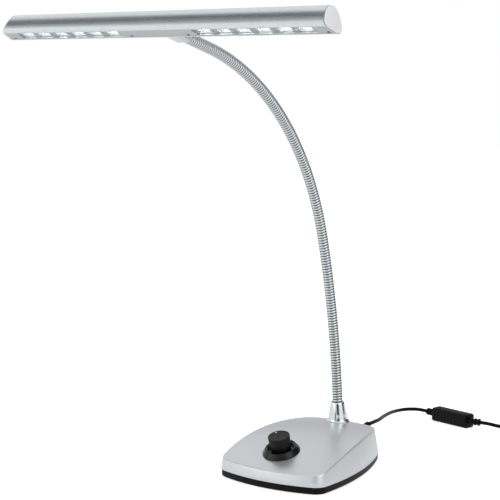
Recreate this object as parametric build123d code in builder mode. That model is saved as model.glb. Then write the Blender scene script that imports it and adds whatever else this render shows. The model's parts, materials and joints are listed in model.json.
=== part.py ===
from build123d import *
import os
from math import asin, cos, degrees, pi, radians, sin, sqrt, tan

# Piano lamp: a weighted base with a rotary dimmer, a gooseneck and a long LED head.
# Millimetres, +Z up, the front of the lamp towards -Y. The origin is the middle of the
# base's underside, on the table.

# ------------------------------------------------------------------ base, driving sizes
base_depth = 165.0
base_half_width = 64.2          # half the greatest width
widest_from_front = 50.5        # from the base's front to where it is widest
front_radius = 167.0            # plan radii of the four sides
side_radius = 270.0
rear_radius = 600.0
front_corner_radius = 14.0
rear_corner_radius = 12.0
front_draft = 6.8               # lean of the cover's walls, degrees
rear_draft = 18.0

pad_thickness = 1.2             # anti-slip pad under the tray
pad_inset = 7.0
tray_height = 6.6
tray_inset = 0.5                # step between the cover and the tray
tray_wall = 2.6
tray_floor = 2.0
tray_edge_radius = 3.4          # rounded lower edge
ballast_thickness = 8.0
ballast_inset = 8.0

dome_radius = 275.0             # arc of the top along the depth
dome_peak_y = 28.0
dome_peak_z = 41.1
crown_radius = 455.0            # arc of the top across the width
crown_half_sweep = 14.0
cover_wall = 2.4
cover_edge_radius = 1.2
form_height = 50.0              # height of the walls before the dome cuts them

seat_clearance = 0.05           # curved seats within the base
slip_clearance = 0.1            # pieces that slide together when assembled
thread_clearance = 0.05

screw_from_end = 26.5           # tray screws, from the base's front and rear
front_screw_from_side = 18.2    # and from its greatest width
rear_screw_from_side = 30.2
screw_shank_radius = 1.5
screw_head_radius = 2.9
screw_head_height = 1.3
screw_bite = 8.0                # thread length in a post
post_radius = 4.0

# ------------------------------------------------------------------ dimmer, driving sizes
dimmer_from_front = 34.4        # from the base's front to the knob
bezel_radius = 19.2
bezel_ridge_radius = 15.5
bezel_height = 4.8
bezel_rim_height = 0.5
bezel_sink = 0.9                # flat seat cut into the dome
bezel_floor = 1.2
well_radius = 12.7
ridge_width = 0.7
knob_radius = 11.1              # at the top
knob_foot_radius = 10.6
knob_foot = 3.0                 # gap under the knob, above the dome
knob_top = 17.7
knob_edge = 0.5
knob_pocket_radius = 8.0
knob_pocket_depth = 5.0
marker_length = 3.2
marker_width = 1.2
marker_depth = 0.6
marker_turn = 53.0              # rest position, degrees to the left of straight back
marker_rim_gap = 0.7
shaft_radius = 3.0
shaft_flat_depth = 1.5
shaft_top = 14.6
bushing_radius = 3.5
bushing_top = 4.6
bushing_running_clearance = 0.06
dimmer_can_radius = 8.5
dimmer_can_height = 9.0
dimmer_boss = 1.0               # thickening of the cover under the dimmer
dimmer_boss_radius = 11.0
dimmer_nut_width = 10.0         # across the flats
dimmer_nut_height = 2.0

terminal_count = 3
terminal_size = (1.4, 0.6)
terminal_reach = 4.0            # beyond the can
terminal_drop = 8.0             # below the can's top

# ------------------------------------------------------------------ driver board, sizes
board_width = 40.0
board_depth = 52.0
board_y = 8.0
board_lift = 4.0                # above the ballast
spacer_radius = 3.0
spacer_gap = 40.0               # between the two spacers
capacitor_radius = 4.0
capacitor_height = 10.0
inductor_size = 9.0
inductor_height = 5.0

# ------------------------------------------------------------------ neck, driving sizes
neck_foot_from_rear = 21.3      # from the base's rear to the neck
neck_foot_lean = 4.2            # degrees from the vertical, towards the front
neck_mid_lean = 16.2            # where the gentle arc passes into the tight one
neck_end_lean = 81.8
gentle_arc_length = 182.0
tight_arc_length = 317.5
neck_radius = 5.5
neck_bore_radius = 2.2
joint_count = 12
first_joint = 14.0              # from the top of the ferrule to the first joint
last_joint_margin = 14.0        # from the last joint to the socket
joint_gap = 0.3                 # between a ball and its cup
ball_step_angles = (60.0, 30.0)
ferrule_height = 21.8
ferrule_foot_radius = 12.4
ferrule_flare = 2.2
ferrule_low_radius = 10.7
ferrule_top_radius = 7.3
ferrule_shoulder = 1.5
ferrule_edge = 0.4              # upright edge of the foot
stud_radius = 4.9
neck_boss = 3.0                 # thickening of the cover under the neck
neck_boss_radius = 13.0
neck_seat_depth = 0.5
washer_radius = 9.0
washer_thickness = 1.5
neck_nut_width = 14.0
neck_nut_height = 5.0
stud_end = 1.5                  # thread showing below the nut

# ------------------------------------------------------------------ head, driving sizes
head_tilt = 23.45               # degrees that the underside faces forward
head_forward = 43.5             # from the end of the neck to the head's middle
head_above = 4.5
head_half_length = 178.0
head_width = 20.3
flat_width = 15.2               # flat part of the underside
bevel_height = 1.1
lip_height = 2.1
arch_height = 18.8
head_wall = 1.4
end_lean_across = 0.205         # slope of the ends over the width and over the height
end_lean_up = 0.243
cap_thickness = 2.0
cap_plug_depth = 9.0
cover_half_width = 6.6
cover_recess = 0.3
cover_thickness = 1.5
ledge_thickness = 1.2
ledge_gap = 5.6                 # half the gap between the two ledges
window_half_width = 5.2
led_count = 6                   # in each half
window_inner_margin = 39.8      # from the middle to the first cup's side
window_end_margin = 17.0        # from the last cup's side to the end
cup_divider = 7.6               # between the mouths of two cups
cup_mouth_width = 9.4
cup_top = (7.0, 6.0)
reflector_height = 9.4
divider_rim = 1.0               # flat beside the pyramid pits between the cups
divider_pit_width = 8.4
divider_pit_depth = 2.2
pit_point = 0.4
board_thickness = 1.2
led_size = 5.0
led_height = 1.4
cover_screw_y = 4.6
inner_screw_x = 31.0
end_screw_margin = 7.5          # from the outer cover screws to the ends
cover_screw_head = 1.5
cover_screw_shank = 0.8
cover_screw_length = 5.0
bracket_half_length = 37.0
bracket_height = 4.0

socket_width = 20.0
socket_below = 6.5              # from the neck's axis to the socket's underside
socket_above = 7.2
socket_reach = 43.0             # along the neck's axis, under the head
socket_corner = 2.0
socket_grip = 12.0              # length of the neck inside the socket
socket_ramp = ((-3.0, 0.0), (7.8, -2.3))
set_screw_radius = 1.5
set_screw_sink = 0.6

# ------------------------------------------------------------------ cord, driving sizes
cord_radius = 2.1
cord_height = 24.0              # where it leaves the base
cord_x = 4.0
relief_root_radius = 3.9
relief_tip_radius = 2.9
relief_seat_from_rear = 9.8     # from its flange to the base's rear
relief_flange_radius = 5.2
relief_flange_thickness = 1.5
relief_boss_radius = 6.5
relief_straight = 6.0           # part inside the wall
relief_length = 45.3
relief_run = 12.0               # straight cord beyond the relief
block_start = (12.0, 264.5)     # axis of the inline block on the table
block_end = (61.6, 252.6)
block_radius = 8.0
block_corner = 1.6
rib_length = 12.6
rib_radius = 3.8
rib_core_radius = 2.9
rib_count = 3
rib_width = 2.0
far_turn = 18.5                 # turn of the relief on the far side of the block
near_run = 6.0                  # straight cord at the block's two ends
far_run = 9.0
coil_centre = (140.0, 262.0)
coil_mean_radius = 23.0
coil_across = 3                 # strands side by side and on top of each other
coil_layers = 4
tie_width = 6.0
tie_thickness = 1.0
plug_radius = 4.75
plug_length = 26.0
plug_foot_radius = 3.1
plug_taper = 9.0
plug_nose = 2.0
plug_face_radius = 3.75
barrel_radius = 2.75
barrel_length = 9.5
barrel_bore = 1.05

# ------------------------------------------------------------------ worked out from them
front_y = -base_depth / 2
rear_y = base_depth / 2
widest_y = front_y + widest_from_front
dimmer_y = front_y + dimmer_from_front
neck_foot_y = rear_y - neck_foot_from_rear
relief_seat_y = rear_y - relief_seat_from_rear
front_screw_x = base_half_width - front_screw_from_side
rear_screw_x = base_half_width - rear_screw_from_side
front_screw_y = front_y + screw_from_end
rear_screw_y = rear_y - screw_from_end
tray_screw_points = [
    (-front_screw_x, front_screw_y),
    (front_screw_x, front_screw_y),
    (-rear_screw_x, rear_screw_y),
    (rear_screw_x, rear_screw_y),
]
seam_height = pad_thickness + tray_height
ballast_foot = pad_thickness + tray_floor
ballast_top = ballast_foot + ballast_thickness
crown_axis_z = dome_peak_z - crown_radius


def dome_height(y):
    """Height of the dome's middle line."""
    return dome_peak_z - dome_radius + sqrt(dome_radius**2 - (y - dome_peak_y) ** 2)


def tilted_plane(origin, lean):
    """Plane across an axis that leans forward from the vertical, in degrees."""
    return Plane(origin=origin, x_dir=(1, 0, 0), z_dir=(0, -sin(radians(lean)), cos(radians(lean))))


def section_of(plane):
    """Plane along a plane's own axis: local x across, local y along the axis."""
    return Plane(origin=plane.origin, x_dir=plane.x_dir, z_dir=-plane.y_dir)


def axis_of(plane):
    return Axis(plane.origin, plane.z_dir)


dimmer_lean = degrees(asin((dome_peak_y - dimmer_y) / dome_radius))
knob_plane = tilted_plane((0, dimmer_y, dome_height(dimmer_y)), dimmer_lean)
neck_plane = tilted_plane((0, neck_foot_y, dome_height(neck_foot_y)), neck_foot_lean)
relief_plane = Plane(origin=(cord_x, relief_seat_y, cord_height), x_dir=(1, 0, 0), z_dir=(0, 1, 0))


def base_plan(height, inset, rear_inset):
    """The base's outline: four shallow arcs with rounded corners."""
    with BuildSketch(Plane.XY.offset(height)) as plan:
        with Locations((0, front_radius - base_depth / 2)):
            Circle(front_radius - inset)
        for side in (-1, 1):
            centre_x = side * (base_half_width - side_radius)
            with Locations(Location((centre_x, widest_y, 0), (0, 0, 90 + 90 * side))):
                Circle(side_radius - inset, mode=Mode.INTERSECT)
        with Locations((0, base_depth / 2 - rear_radius)):
            Circle(rear_radius - rear_inset, mode=Mode.INTERSECT)
        fillet(plan.vertices().sort_by(Axis.Y)[:2], front_corner_radius)
        fillet(plan.vertices().sort_by(Axis.Y)[-2:], rear_corner_radius)
    return plan.sketch


def domed_form(foot, wall):
    """Drafted walls under the dome, all moved inward by a wall."""
    with BuildPart() as form:
        sections = []
        for height in (foot, form_height):
            rise = height - seam_height
            inset = wall + rise * tan(radians(front_draft))
            rear_inset = wall + rise * tan(radians(rear_draft))
            sections.append(base_plan(height, inset, rear_inset))
        loft(sections=sections, ruled=True)
        start = radians(crown_half_sweep)
        swing_plane = Plane(
            origin=(0, 0, crown_axis_z), x_dir=(0, 1, 0), z_dir=(cos(start), 0, sin(start))
        )
        with BuildSketch(swing_plane):
            with Locations((dome_peak_y, crown_radius - dome_radius)):
                Circle(dome_radius - wall)
            with Locations((0, crown_radius - dome_peak_z)):
                low_middle = (Align.CENTER, Align.MIN)
                Rectangle(2 * base_depth, 2 * dome_peak_z, align=low_middle, mode=Mode.INTERSECT)
        crown_axis = Axis((0, 0, crown_axis_z), (0, 1, 0))
        revolve(axis=crown_axis, revolution_arc=2 * crown_half_sweep, mode=Mode.INTERSECT)
    return form.part


os.makedirs("parts", exist_ok=True)


# ------------------------------------------------------------------ base: pad, tray, ballast
with BuildPart() as base_pad:
    extrude(base_plan(0, pad_inset, pad_inset), amount=pad_thickness)
base_pad.part.label = "base_pad"
export_step(base_pad.part, "parts/base_pad.step")

with BuildPart() as base_tray:
    extrude(base_plan(pad_thickness, tray_inset, tray_inset), amount=tray_height)
    fillet(base_tray.faces().sort_by(Axis.Z)[0].edges(), tray_edge_radius)
    pocket_inset = tray_inset + tray_wall
    extrude(base_plan(ballast_foot, pocket_inset, pocket_inset), amount=tray_height, mode=Mode.SUBTRACT)
    with BuildSketch(Plane.XY.offset(pad_thickness)):
        with Locations(*tray_screw_points):
            Circle(screw_head_radius + slip_clearance)
    extrude(amount=screw_head_height, mode=Mode.SUBTRACT)
    with BuildSketch(Plane.XY.offset(pad_thickness)):
        with Locations(*tray_screw_points):
            Circle(screw_shank_radius + slip_clearance)
    extrude(amount=tray_height, mode=Mode.SUBTRACT)
base_tray.part.label = "base_tray"
export_step(base_tray.part, "parts/base_tray.step")

with BuildPart() as ballast_plate:
    extrude(base_plan(ballast_foot, ballast_inset, ballast_inset), amount=ballast_thickness)
    with BuildSketch(Plane.XY.offset(ballast_foot)):
        with Locations(*tray_screw_points):
            Circle(screw_shank_radius + slip_clearance)
    extrude(amount=ballast_thickness, mode=Mode.SUBTRACT)
ballast_plate.part.label = "ballast_plate"
export_step(ballast_plate.part, "parts/ballast_plate.step")

screw_seat = pad_thickness + screw_head_height
for number, point in enumerate(tray_screw_points, start=1):
    with BuildPart() as tray_screw:
        with BuildSketch(Plane.XY.offset(pad_thickness)):
            with Locations(point):
                Circle(screw_head_radius)
        extrude(amount=screw_head_height)
        with BuildSketch(Plane.XY.offset(screw_seat)):
            with Locations(point):
                Circle(screw_shank_radius)
        extrude(amount=ballast_top + screw_bite - screw_seat)
    tray_screw.part.label = f"tray_screw_{number}"
    export_step(tray_screw.part, f"parts/tray_screw_{number}.step")

# ------------------------------------------------------------------ base: cover
outer_form = domed_form(seam_height, 0)
cavity_form = domed_form(seam_height - 1, cover_wall)
middle_form = domed_form(seam_height - 1, cover_wall / 2)
seat_form = domed_form(seam_height, -seat_clearance)

neck_boss_depth = cover_wall + neck_boss
dimmer_boss_depth = cover_wall + dimmer_boss

with BuildPart() as cover_bosses:
    with BuildSketch(Plane.XY.offset(ballast_top)):
        with Locations(*tray_screw_points):
            Circle(post_radius)
    extrude(amount=base_depth / 4)
    with BuildSketch(neck_plane.offset(-neck_boss_depth)):
        Circle(neck_boss_radius)
    extrude(amount=2 * neck_boss_depth)
    with BuildSketch(knob_plane.offset(-dimmer_boss_depth)):
        Circle(dimmer_boss_radius)
    extrude(amount=2 * dimmer_boss_depth)
    with BuildSketch(relief_plane):
        Circle(relief_boss_radius)
    extrude(amount=relief_length)
    add(middle_form, mode=Mode.INTERSECT)

with BuildPart() as base_cover:
    add(outer_form)
    fillet(base_cover.faces().sort_by(Axis.Z)[-1].edges(), cover_edge_radius)
    add(cavity_form, mode=Mode.SUBTRACT)
    add(cover_bosses.part)
    with BuildSketch(Plane.XY.offset(ballast_top)):
        with Locations(*tray_screw_points):
            Circle(screw_shank_radius + thread_clearance)
    extrude(amount=screw_bite, mode=Mode.SUBTRACT)
    with BuildSketch(knob_plane.offset(-bezel_sink)):
        Circle(bezel_radius + slip_clearance)
    extrude(amount=bezel_height, mode=Mode.SUBTRACT)
    with BuildSketch(knob_plane):
        Circle(bushing_radius + slip_clearance)
    extrude(amount=2 * dimmer_boss_depth, both=True, mode=Mode.SUBTRACT)
    with BuildSketch(neck_plane.offset(-neck_seat_depth)):
        Circle(neck_radius + slip_clearance)
    extrude(amount=neck_boss_depth, mode=Mode.SUBTRACT)
    with BuildSketch(neck_plane):
        Circle(stud_radius + slip_clearance)
    extrude(amount=2 * neck_boss_depth, both=True, mode=Mode.SUBTRACT)
    with BuildSketch(relief_plane):
        Circle(relief_root_radius + slip_clearance)
    extrude(amount=relief_length, mode=Mode.SUBTRACT)
base_cover.part.label = "base_cover"
export_step(base_cover.part, "parts/base_cover.step")

# ------------------------------------------------------------------ dimmer
with BuildPart() as knob_bezel:
    with BuildSketch(section_of(knob_plane)):
        with BuildLine():
            hole_radius = bushing_radius + slip_clearance
            rim_top = bezel_rim_height + (bezel_height - bezel_rim_height) / 8
            Polyline(
                (hole_radius, -bezel_sink),
                (bezel_radius, -bezel_sink),
                (bezel_radius, bezel_rim_height),
                (bezel_radius - bezel_rim_height, rim_top),
                (bezel_ridge_radius, bezel_height),
                (bezel_ridge_radius - ridge_width, bezel_height),
                (well_radius, bezel_height - (bezel_ridge_radius - ridge_width - well_radius)),
                (well_radius, bezel_floor),
                (hole_radius, bezel_floor),
                close=True,
            )
        make_face()
    revolve(axis=axis_of(knob_plane))
knob_bezel.part.label = "knob_bezel"
export_step(knob_bezel.part, "parts/knob_bezel.step")

can_top = -dimmer_boss_depth
shaft_foot = can_top - dimmer_can_height / 2

with BuildPart() as dimmer_body:
    with BuildSketch(knob_plane.offset(can_top)):
        Circle(dimmer_can_radius)
    extrude(amount=-dimmer_can_height)
    with BuildSketch(knob_plane.offset(can_top)):
        Circle(bushing_radius)
    extrude(amount=bushing_top - can_top)
    with BuildSketch(knob_plane.offset(can_top - terminal_drop)):
        with Locations((0, dimmer_can_radius + terminal_reach / 2)):
            with GridLocations(dimmer_can_radius / 2, 1, terminal_count, 1):
                Rectangle(terminal_size[0], 2 * terminal_reach)
    extrude(amount=terminal_size[1])
    with BuildSketch(knob_plane.offset(shaft_foot - bushing_running_clearance)):
        Circle(shaft_radius + bushing_running_clearance)
    extrude(amount=bushing_top - shaft_foot + 1, mode=Mode.SUBTRACT)
dimmer_body.part.label = "dimmer_body"
export_step(dimmer_body.part, "parts/dimmer_body.step")

with BuildPart() as dimmer_nut:
    with BuildSketch(knob_plane.offset(bezel_floor)):
        RegularPolygon(dimmer_nut_width / 2, 6, major_radius=False)
        Circle(bushing_radius + thread_clearance, mode=Mode.SUBTRACT)
    extrude(amount=dimmer_nut_height)
dimmer_nut.part.label = "dimmer_nut"
export_step(dimmer_nut.part, "parts/dimmer_nut.step")

flat_foot = knob_foot + knob_pocket_depth


def flat_shaft(clearance):
    """Section of the shaft's flatted end."""
    with BuildSketch(knob_plane.offset(flat_foot)) as section:
        Circle(shaft_radius + clearance)
        with Locations((0, -shaft_radius + shaft_flat_depth - clearance)):
            high_middle = (Align.CENTER, Align.MAX)
            Rectangle(3 * shaft_radius, shaft_radius, align=high_middle, mode=Mode.SUBTRACT)
    return section.sketch


with BuildPart() as dimmer_shaft:
    with BuildSketch(knob_plane.offset(shaft_foot)):
        Circle(shaft_radius)
    extrude(amount=flat_foot - shaft_foot)
    extrude(flat_shaft(0), amount=shaft_top - flat_foot)
dimmer_shaft.part.label = "dimmer_shaft"
export_step(dimmer_shaft.part, "parts/dimmer_shaft.step")

marker_outer = knob_radius - marker_rim_gap


with BuildSketch(knob_plane.offset(knob_top)) as marker_slot:
    with PolarLocations(marker_outer - marker_length / 2, 1, 90 + marker_turn):
        Rectangle(marker_length, marker_width)

with BuildPart() as dimmer_knob:
    with BuildSketch(section_of(knob_plane)):
        with BuildLine():
            Polyline(
                (0, knob_foot),
                (knob_foot_radius, knob_foot),
                (knob_radius, knob_top - knob_edge),
                (knob_radius - knob_edge, knob_top),
                (0, knob_top),
                close=True,
            )
        make_face()
    revolve(axis=axis_of(knob_plane))
    with BuildSketch(knob_plane.offset(knob_foot)):
        Circle(knob_pocket_radius)
    extrude(amount=knob_pocket_depth, mode=Mode.SUBTRACT)
    bore_depth = shaft_top - flat_foot + slip_clearance
    extrude(flat_shaft(thread_clearance), amount=bore_depth, mode=Mode.SUBTRACT)
    extrude(marker_slot.sketch, amount=-marker_depth, mode=Mode.SUBTRACT)
dimmer_knob.part.label = "dimmer_knob"
export_step(dimmer_knob.part, "parts/dimmer_knob.step")

with BuildPart() as knob_marker:
    extrude(marker_slot.sketch, amount=-marker_depth)
knob_marker.part.label = "knob_marker"
export_step(knob_marker.part, "parts/knob_marker.step")

# ------------------------------------------------------------------ driver board
board_foot = ballast_top + board_lift
for number, side in enumerate((-1, 1), start=1):
    with BuildPart() as board_spacer:
        with BuildSketch(Plane.XY.offset(ballast_top)):
            with Locations((0, board_y + side * spacer_gap / 2)):
                Circle(spacer_radius)
        extrude(amount=board_lift)
    board_spacer.part.label = f"board_spacer_{number}"
    export_step(board_spacer.part, f"parts/board_spacer_{number}.step")

with BuildPart() as driver_board:
    with BuildSketch(Plane.XY.offset(board_foot)):
        with Locations((0, board_y)):
            Rectangle(board_width, board_depth)
    extrude(amount=board_thickness)
    with BuildSketch(Plane.XY.offset(board_foot + board_thickness)):
        with Locations((-board_width / 4, board_y)):
            Circle(capacitor_radius)
    extrude(amount=capacitor_height)
    with BuildSketch(Plane.XY.offset(board_foot + board_thickness)):
        with Locations((board_width / 4, board_y)):
            Rectangle(inductor_size, inductor_size)
    extrude(amount=inductor_height)
driver_board.part.label = "driver_board"
export_step(driver_board.part, "parts/driver_board.step")

# ------------------------------------------------------------------ neck: foot
with BuildPart() as neck_ferrule:
    with BuildSketch(section_of(neck_plane)):
        with BuildLine():
            ferrule_bore = neck_radius + slip_clearance
            Polyline(
                (ferrule_bore, ferrule_height),
                (ferrule_bore, -ferrule_foot_radius / 2),
                (ferrule_foot_radius, -ferrule_foot_radius / 2),
                (ferrule_foot_radius, ferrule_edge),
                (ferrule_low_radius, ferrule_flare),
                (ferrule_top_radius, ferrule_height),
                close=True,
            )
        make_face()
    revolve(axis=axis_of(neck_plane))
    top_face = neck_ferrule.faces().sort_by(axis_of(neck_plane))[-1]
    fillet(top_face.edges().sort_by(SortBy.LENGTH)[-1], ferrule_shoulder)
    add(seat_form, mode=Mode.SUBTRACT)
neck_ferrule.part.label = "neck_ferrule"
export_step(neck_ferrule.part, "parts/neck_ferrule.step")

washer_top = -neck_boss_depth
with BuildPart() as neck_washer:
    with BuildSketch(neck_plane.offset(washer_top)):
        Circle(washer_radius)
        Circle(stud_radius + slip_clearance, mode=Mode.SUBTRACT)
    extrude(amount=-washer_thickness)
neck_washer.part.label = "neck_washer"
export_step(neck_washer.part, "parts/neck_washer.step")

neck_nut_top = washer_top - washer_thickness
with BuildPart() as neck_nut:
    with BuildSketch(neck_plane.offset(neck_nut_top)):
        RegularPolygon(neck_nut_width / 2, 6, major_radius=False)
        Circle(stud_radius + thread_clearance, mode=Mode.SUBTRACT)
    extrude(amount=-neck_nut_height)
neck_nut.part.label = "neck_nut"
export_step(neck_nut.part, "parts/neck_nut.step")

# ------------------------------------------------------------------ neck: centre line
# The visible neck is two tangent arcs in the plane x = 0. Its lean grows evenly with the
# length of each arc. The first joint stands on the ferrule's own axis.
neck_start = neck_plane.from_local_coords((0, 0, ferrule_height))
neck_length = gentle_arc_length + tight_arc_length


def arc_step(start_lean, end_lean, length, along):
    """Place and lean, along an arc of evenly growing lean, from its start."""
    bend = radians(end_lean - start_lean) / length
    start = radians(start_lean)
    lean = start + bend * along
    return (cos(lean) - cos(start)) / bend, (sin(lean) - sin(start)) / bend, degrees(lean)


def neck_place(along):
    """Point and lean of the neck's centre line, a length from the top of the ferrule."""
    gentle = min(along, gentle_arc_length)
    y, z, lean = arc_step(neck_foot_lean, neck_mid_lean, gentle_arc_length, gentle)
    if along > gentle_arc_length:
        tight = along - gentle_arc_length
        more_y, more_z, lean = arc_step(neck_mid_lean, neck_end_lean, tight_arc_length, tight)
        y, z = y + more_y, z + more_z
    return neck_start + Vector(0, y, z), lean


joint_spacing = (neck_length - first_joint - last_joint_margin) / (joint_count - 1)
joint_points = [neck_plane.from_local_coords((0, 0, ferrule_height + first_joint))]
for number in range(1, joint_count):
    joint_points.append(neck_place(first_joint + number * joint_spacing)[0])
neck_end = neck_place(neck_length)[0]

ball_radius = neck_radius
cup_radius = ball_radius + joint_gap
cup_mouth_height = cup_radius * sqrt(2) - neck_radius
ball_profile = [
    (ball_radius * sin(radians(angle)), ball_radius * cos(radians(angle)))
    for angle in ball_step_angles
]
ball_top = ball_profile[-1][1]


def between(start, end):
    """Plane across the line from one point to the next."""
    return Plane(origin=start, x_dir=(1, 0, 0), z_dir=end - start)


def neck_tube(plane, low_points, high_points):
    """Section of a hollow neck piece, from its lower end to its upper end."""
    with BuildSketch(section_of(plane)) as section:
        with BuildLine():
            Polyline(*low_points, *high_points, close=True)
        make_face()
    return section.sketch


def ball_end(height):
    """Faceted ball around the joint at the upper end."""
    rounded = [(x, height + rise) for x, rise in ball_profile]
    return [(neck_radius, height), *rounded, (neck_bore_radius, height + ball_top)]


cup_end = [
    (neck_bore_radius, cup_radius),
    (cup_radius * sqrt(2) - cup_radius, cup_radius),
    (neck_radius, cup_mouth_height),
]

stud_foot = neck_nut_top - neck_nut_height - stud_end
with BuildPart() as neck_root:
    root_top = ferrule_height + first_joint
    stud_end_points = [
        (neck_bore_radius, stud_foot),
        (stud_radius, stud_foot),
        (stud_radius, -neck_seat_depth),
        (neck_radius, -neck_seat_depth),
    ]
    revolve(neck_tube(neck_plane, stud_end_points, ball_end(root_top)), axis=axis_of(neck_plane))
neck_root.part.label = "neck_root"
export_step(neck_root.part, "parts/neck_root.step")

for number in range(1, joint_count):
    link_plane = between(joint_points[number - 1], joint_points[number])
    link_length = (joint_points[number] - joint_points[number - 1]).length
    with BuildPart() as neck_link:
        revolve(neck_tube(link_plane, cup_end, ball_end(link_length)), axis=axis_of(link_plane))
    neck_link.part.label = f"neck_link_{number:02d}"
    export_step(neck_link.part, f"parts/neck_link_{number:02d}.step")

tip_plane = between(joint_points[-1], neck_end)
tip_to_socket = (neck_end - joint_points[-1]).length
tip_length = tip_to_socket + socket_grip
with BuildPart() as neck_tip:
    tip_end_points = [(neck_radius, tip_length), (neck_bore_radius, tip_length)]
    revolve(neck_tube(tip_plane, cup_end, tip_end_points), axis=axis_of(tip_plane))
neck_tip.part.label = "neck_tip"
export_step(neck_tip.part, "parts/neck_tip.step")

# ------------------------------------------------------------------ head: profile and caps
tilt = radians(head_tilt)
head_middle = neck_end + Vector(0, -head_forward, head_above)
head_section = Plane(origin=head_middle, x_dir=(0, cos(tilt), -sin(tilt)), z_dir=(1, 0, 0))
head_plane = Plane(origin=head_middle, x_dir=(1, 0, 0), z_dir=(0, sin(tilt), cos(tilt)))
half_width = head_width / 2
ledge_foot = cover_recess + cover_thickness
ledge_top = ledge_foot + ledge_thickness
end_screw_x = head_half_length - end_screw_margin


def end_plane(side, depth):
    """Leaning plane across one end of the head, a depth inside it."""
    lean = Vector(side, -end_lean_across, end_lean_up)
    origin = head_plane.from_local_coords((side * (head_half_length - depth), 0, 0))
    outward = head_plane.from_local_coords(lean) - head_plane.origin
    return Plane(origin=origin, z_dir=outward)


def arch(inset, floor):
    """The head's half-elliptic arch, moved inward, above a floor."""
    with BuildSketch(head_section) as outline:
        with Locations((0, lip_height)):
            Ellipse(half_width - inset, arch_height - inset)
        with Locations((0, floor)):
            low_middle = (Align.CENTER, Align.MIN)
            Rectangle(2 * head_width, 2 * arch_height, align=low_middle, mode=Mode.INTERSECT)
    return outline.sketch


def head_outline():
    """Outer section of the head: arch, short upright lips and bevelled flat underside."""
    with BuildSketch(head_section) as outline:
        with Locations((0, lip_height)):
            low_middle = (Align.CENTER, Align.MIN)
            Ellipse(half_width, arch_height)
            Rectangle(2 * head_width, 2 * arch_height, align=low_middle, mode=Mode.INTERSECT)
        with BuildLine():
            Polyline(
                (-half_width, lip_height),
                (-half_width, bevel_height),
                (-flat_width / 2, 0),
                (flat_width / 2, 0),
                (half_width, bevel_height),
                (half_width, lip_height),
                close=True,
            )
        make_face()
    return outline.sketch


def slot(half, foot, top):
    """Rectangle in the head's section, both sides of its middle."""
    with BuildSketch(head_section) as outline:
        with Locations((0, (foot + top) / 2)):
            Rectangle(2 * half, top - foot)
    return outline.sketch


arch_inner = arch(head_wall, ledge_top)
long_way = head_half_length + head_width

with BuildPart() as head_form:
    extrude(head_outline(), amount=long_way, both=True)
    for side in (-1, 1):
        split(bisect_by=end_plane(side, 0), keep=Keep.BOTTOM)

with BuildPart() as head_profile:
    extrude(head_outline(), amount=long_way, both=True)
    extrude(arch_inner, amount=long_way, both=True, mode=Mode.SUBTRACT)
    extrude(slot(ledge_gap, 0, ledge_top), amount=long_way, both=True, mode=Mode.SUBTRACT)
    cover_slot = slot(cover_half_width + slip_clearance, 0, ledge_foot)
    extrude(cover_slot, amount=long_way, both=True, mode=Mode.SUBTRACT)
    for side in (-1, 1):
        split(bisect_by=end_plane(side, cap_thickness), keep=Keep.BOTTOM)
head_profile.part.label = "head_profile"
export_step(head_profile.part, "parts/head_profile.step")

for side, name in ((-1, "end_cap_left"), (1, "end_cap_right")):
    with BuildPart() as cap_plug:
        extrude(arch(head_wall + slip_clearance, ledge_top), amount=side * long_way)
        extrude(slot(ledge_gap - slip_clearance, ledge_foot, ledge_top), amount=side * long_way)
        split(bisect_by=end_plane(side, cap_thickness), keep=Keep.BOTTOM)
        split(bisect_by=end_plane(side, cap_thickness + cap_plug_depth), keep=Keep.TOP)
    with BuildPart() as end_cap:
        extrude(head_outline(), amount=side * long_way)
        split(bisect_by=end_plane(side, 0), keep=Keep.BOTTOM)
        split(bisect_by=end_plane(side, cap_thickness), keep=Keep.TOP)
        add(cap_plug.part)
        with BuildSketch(head_plane.offset(ledge_foot)):
            with Locations((side * end_screw_x, cover_screw_y)):
                Circle(cover_screw_shank + thread_clearance)
        extrude(amount=cover_screw_length, mode=Mode.SUBTRACT)
    end_cap.part.label = name
    export_step(end_cap.part, f"parts/{name}.step")

# ------------------------------------------------------------------ head: light cover
window_length = head_half_length - window_inner_margin - window_end_margin
led_pitch = window_length / led_count
led_middle = window_inner_margin + window_length / 2
cup_mouth = (led_pitch - cup_divider, cup_mouth_width)
divider_pit = (cup_divider - 2 * divider_rim, divider_pit_width)
cover_screw_points = [
    (side * x, cover_screw_y) for side in (-1, 1) for x in (inner_screw_x, end_screw_x)
]

with BuildPart() as light_cover:
    extrude(slot(cover_half_width, cover_recess, ledge_foot), amount=long_way, both=True)
    for side in (-1, 1):
        split(bisect_by=end_plane(side, cap_thickness + slip_clearance), keep=Keep.BOTTOM)
    with BuildSketch(head_plane.offset(cover_recess)):
        with Locations((-led_middle, 0), (led_middle, 0)):
            Rectangle(window_length, 2 * window_half_width)
    extrude(amount=cover_thickness, mode=Mode.SUBTRACT)
    with BuildSketch(head_plane.offset(cover_recess)):
        with Locations(*cover_screw_points):
            Circle(cover_screw_shank + slip_clearance)
    extrude(amount=cover_thickness, mode=Mode.SUBTRACT)
    with BuildSketch(head_plane.offset(cover_recess)):
        with Locations(*cover_screw_points):
            Circle(cover_screw_head + slip_clearance)
    extrude(amount=cover_thickness / 2, mode=Mode.SUBTRACT)
light_cover.part.label = "light_cover"
export_step(light_cover.part, "parts/light_cover.step")

for number, point in enumerate(cover_screw_points, start=1):
    with BuildPart() as cover_screw:
        with BuildSketch(head_plane.offset(cover_recess)):
            with Locations(point):
                Circle(cover_screw_head)
        extrude(amount=cover_thickness / 2)
        with BuildSketch(head_plane.offset(cover_recess)):
            with Locations(point):
                Circle(cover_screw_shank)
        extrude(amount=cover_screw_length)
    cover_screw.part.label = f"cover_screw_{number}"
    export_step(cover_screw.part, f"parts/cover_screw_{number}.step")

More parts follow.
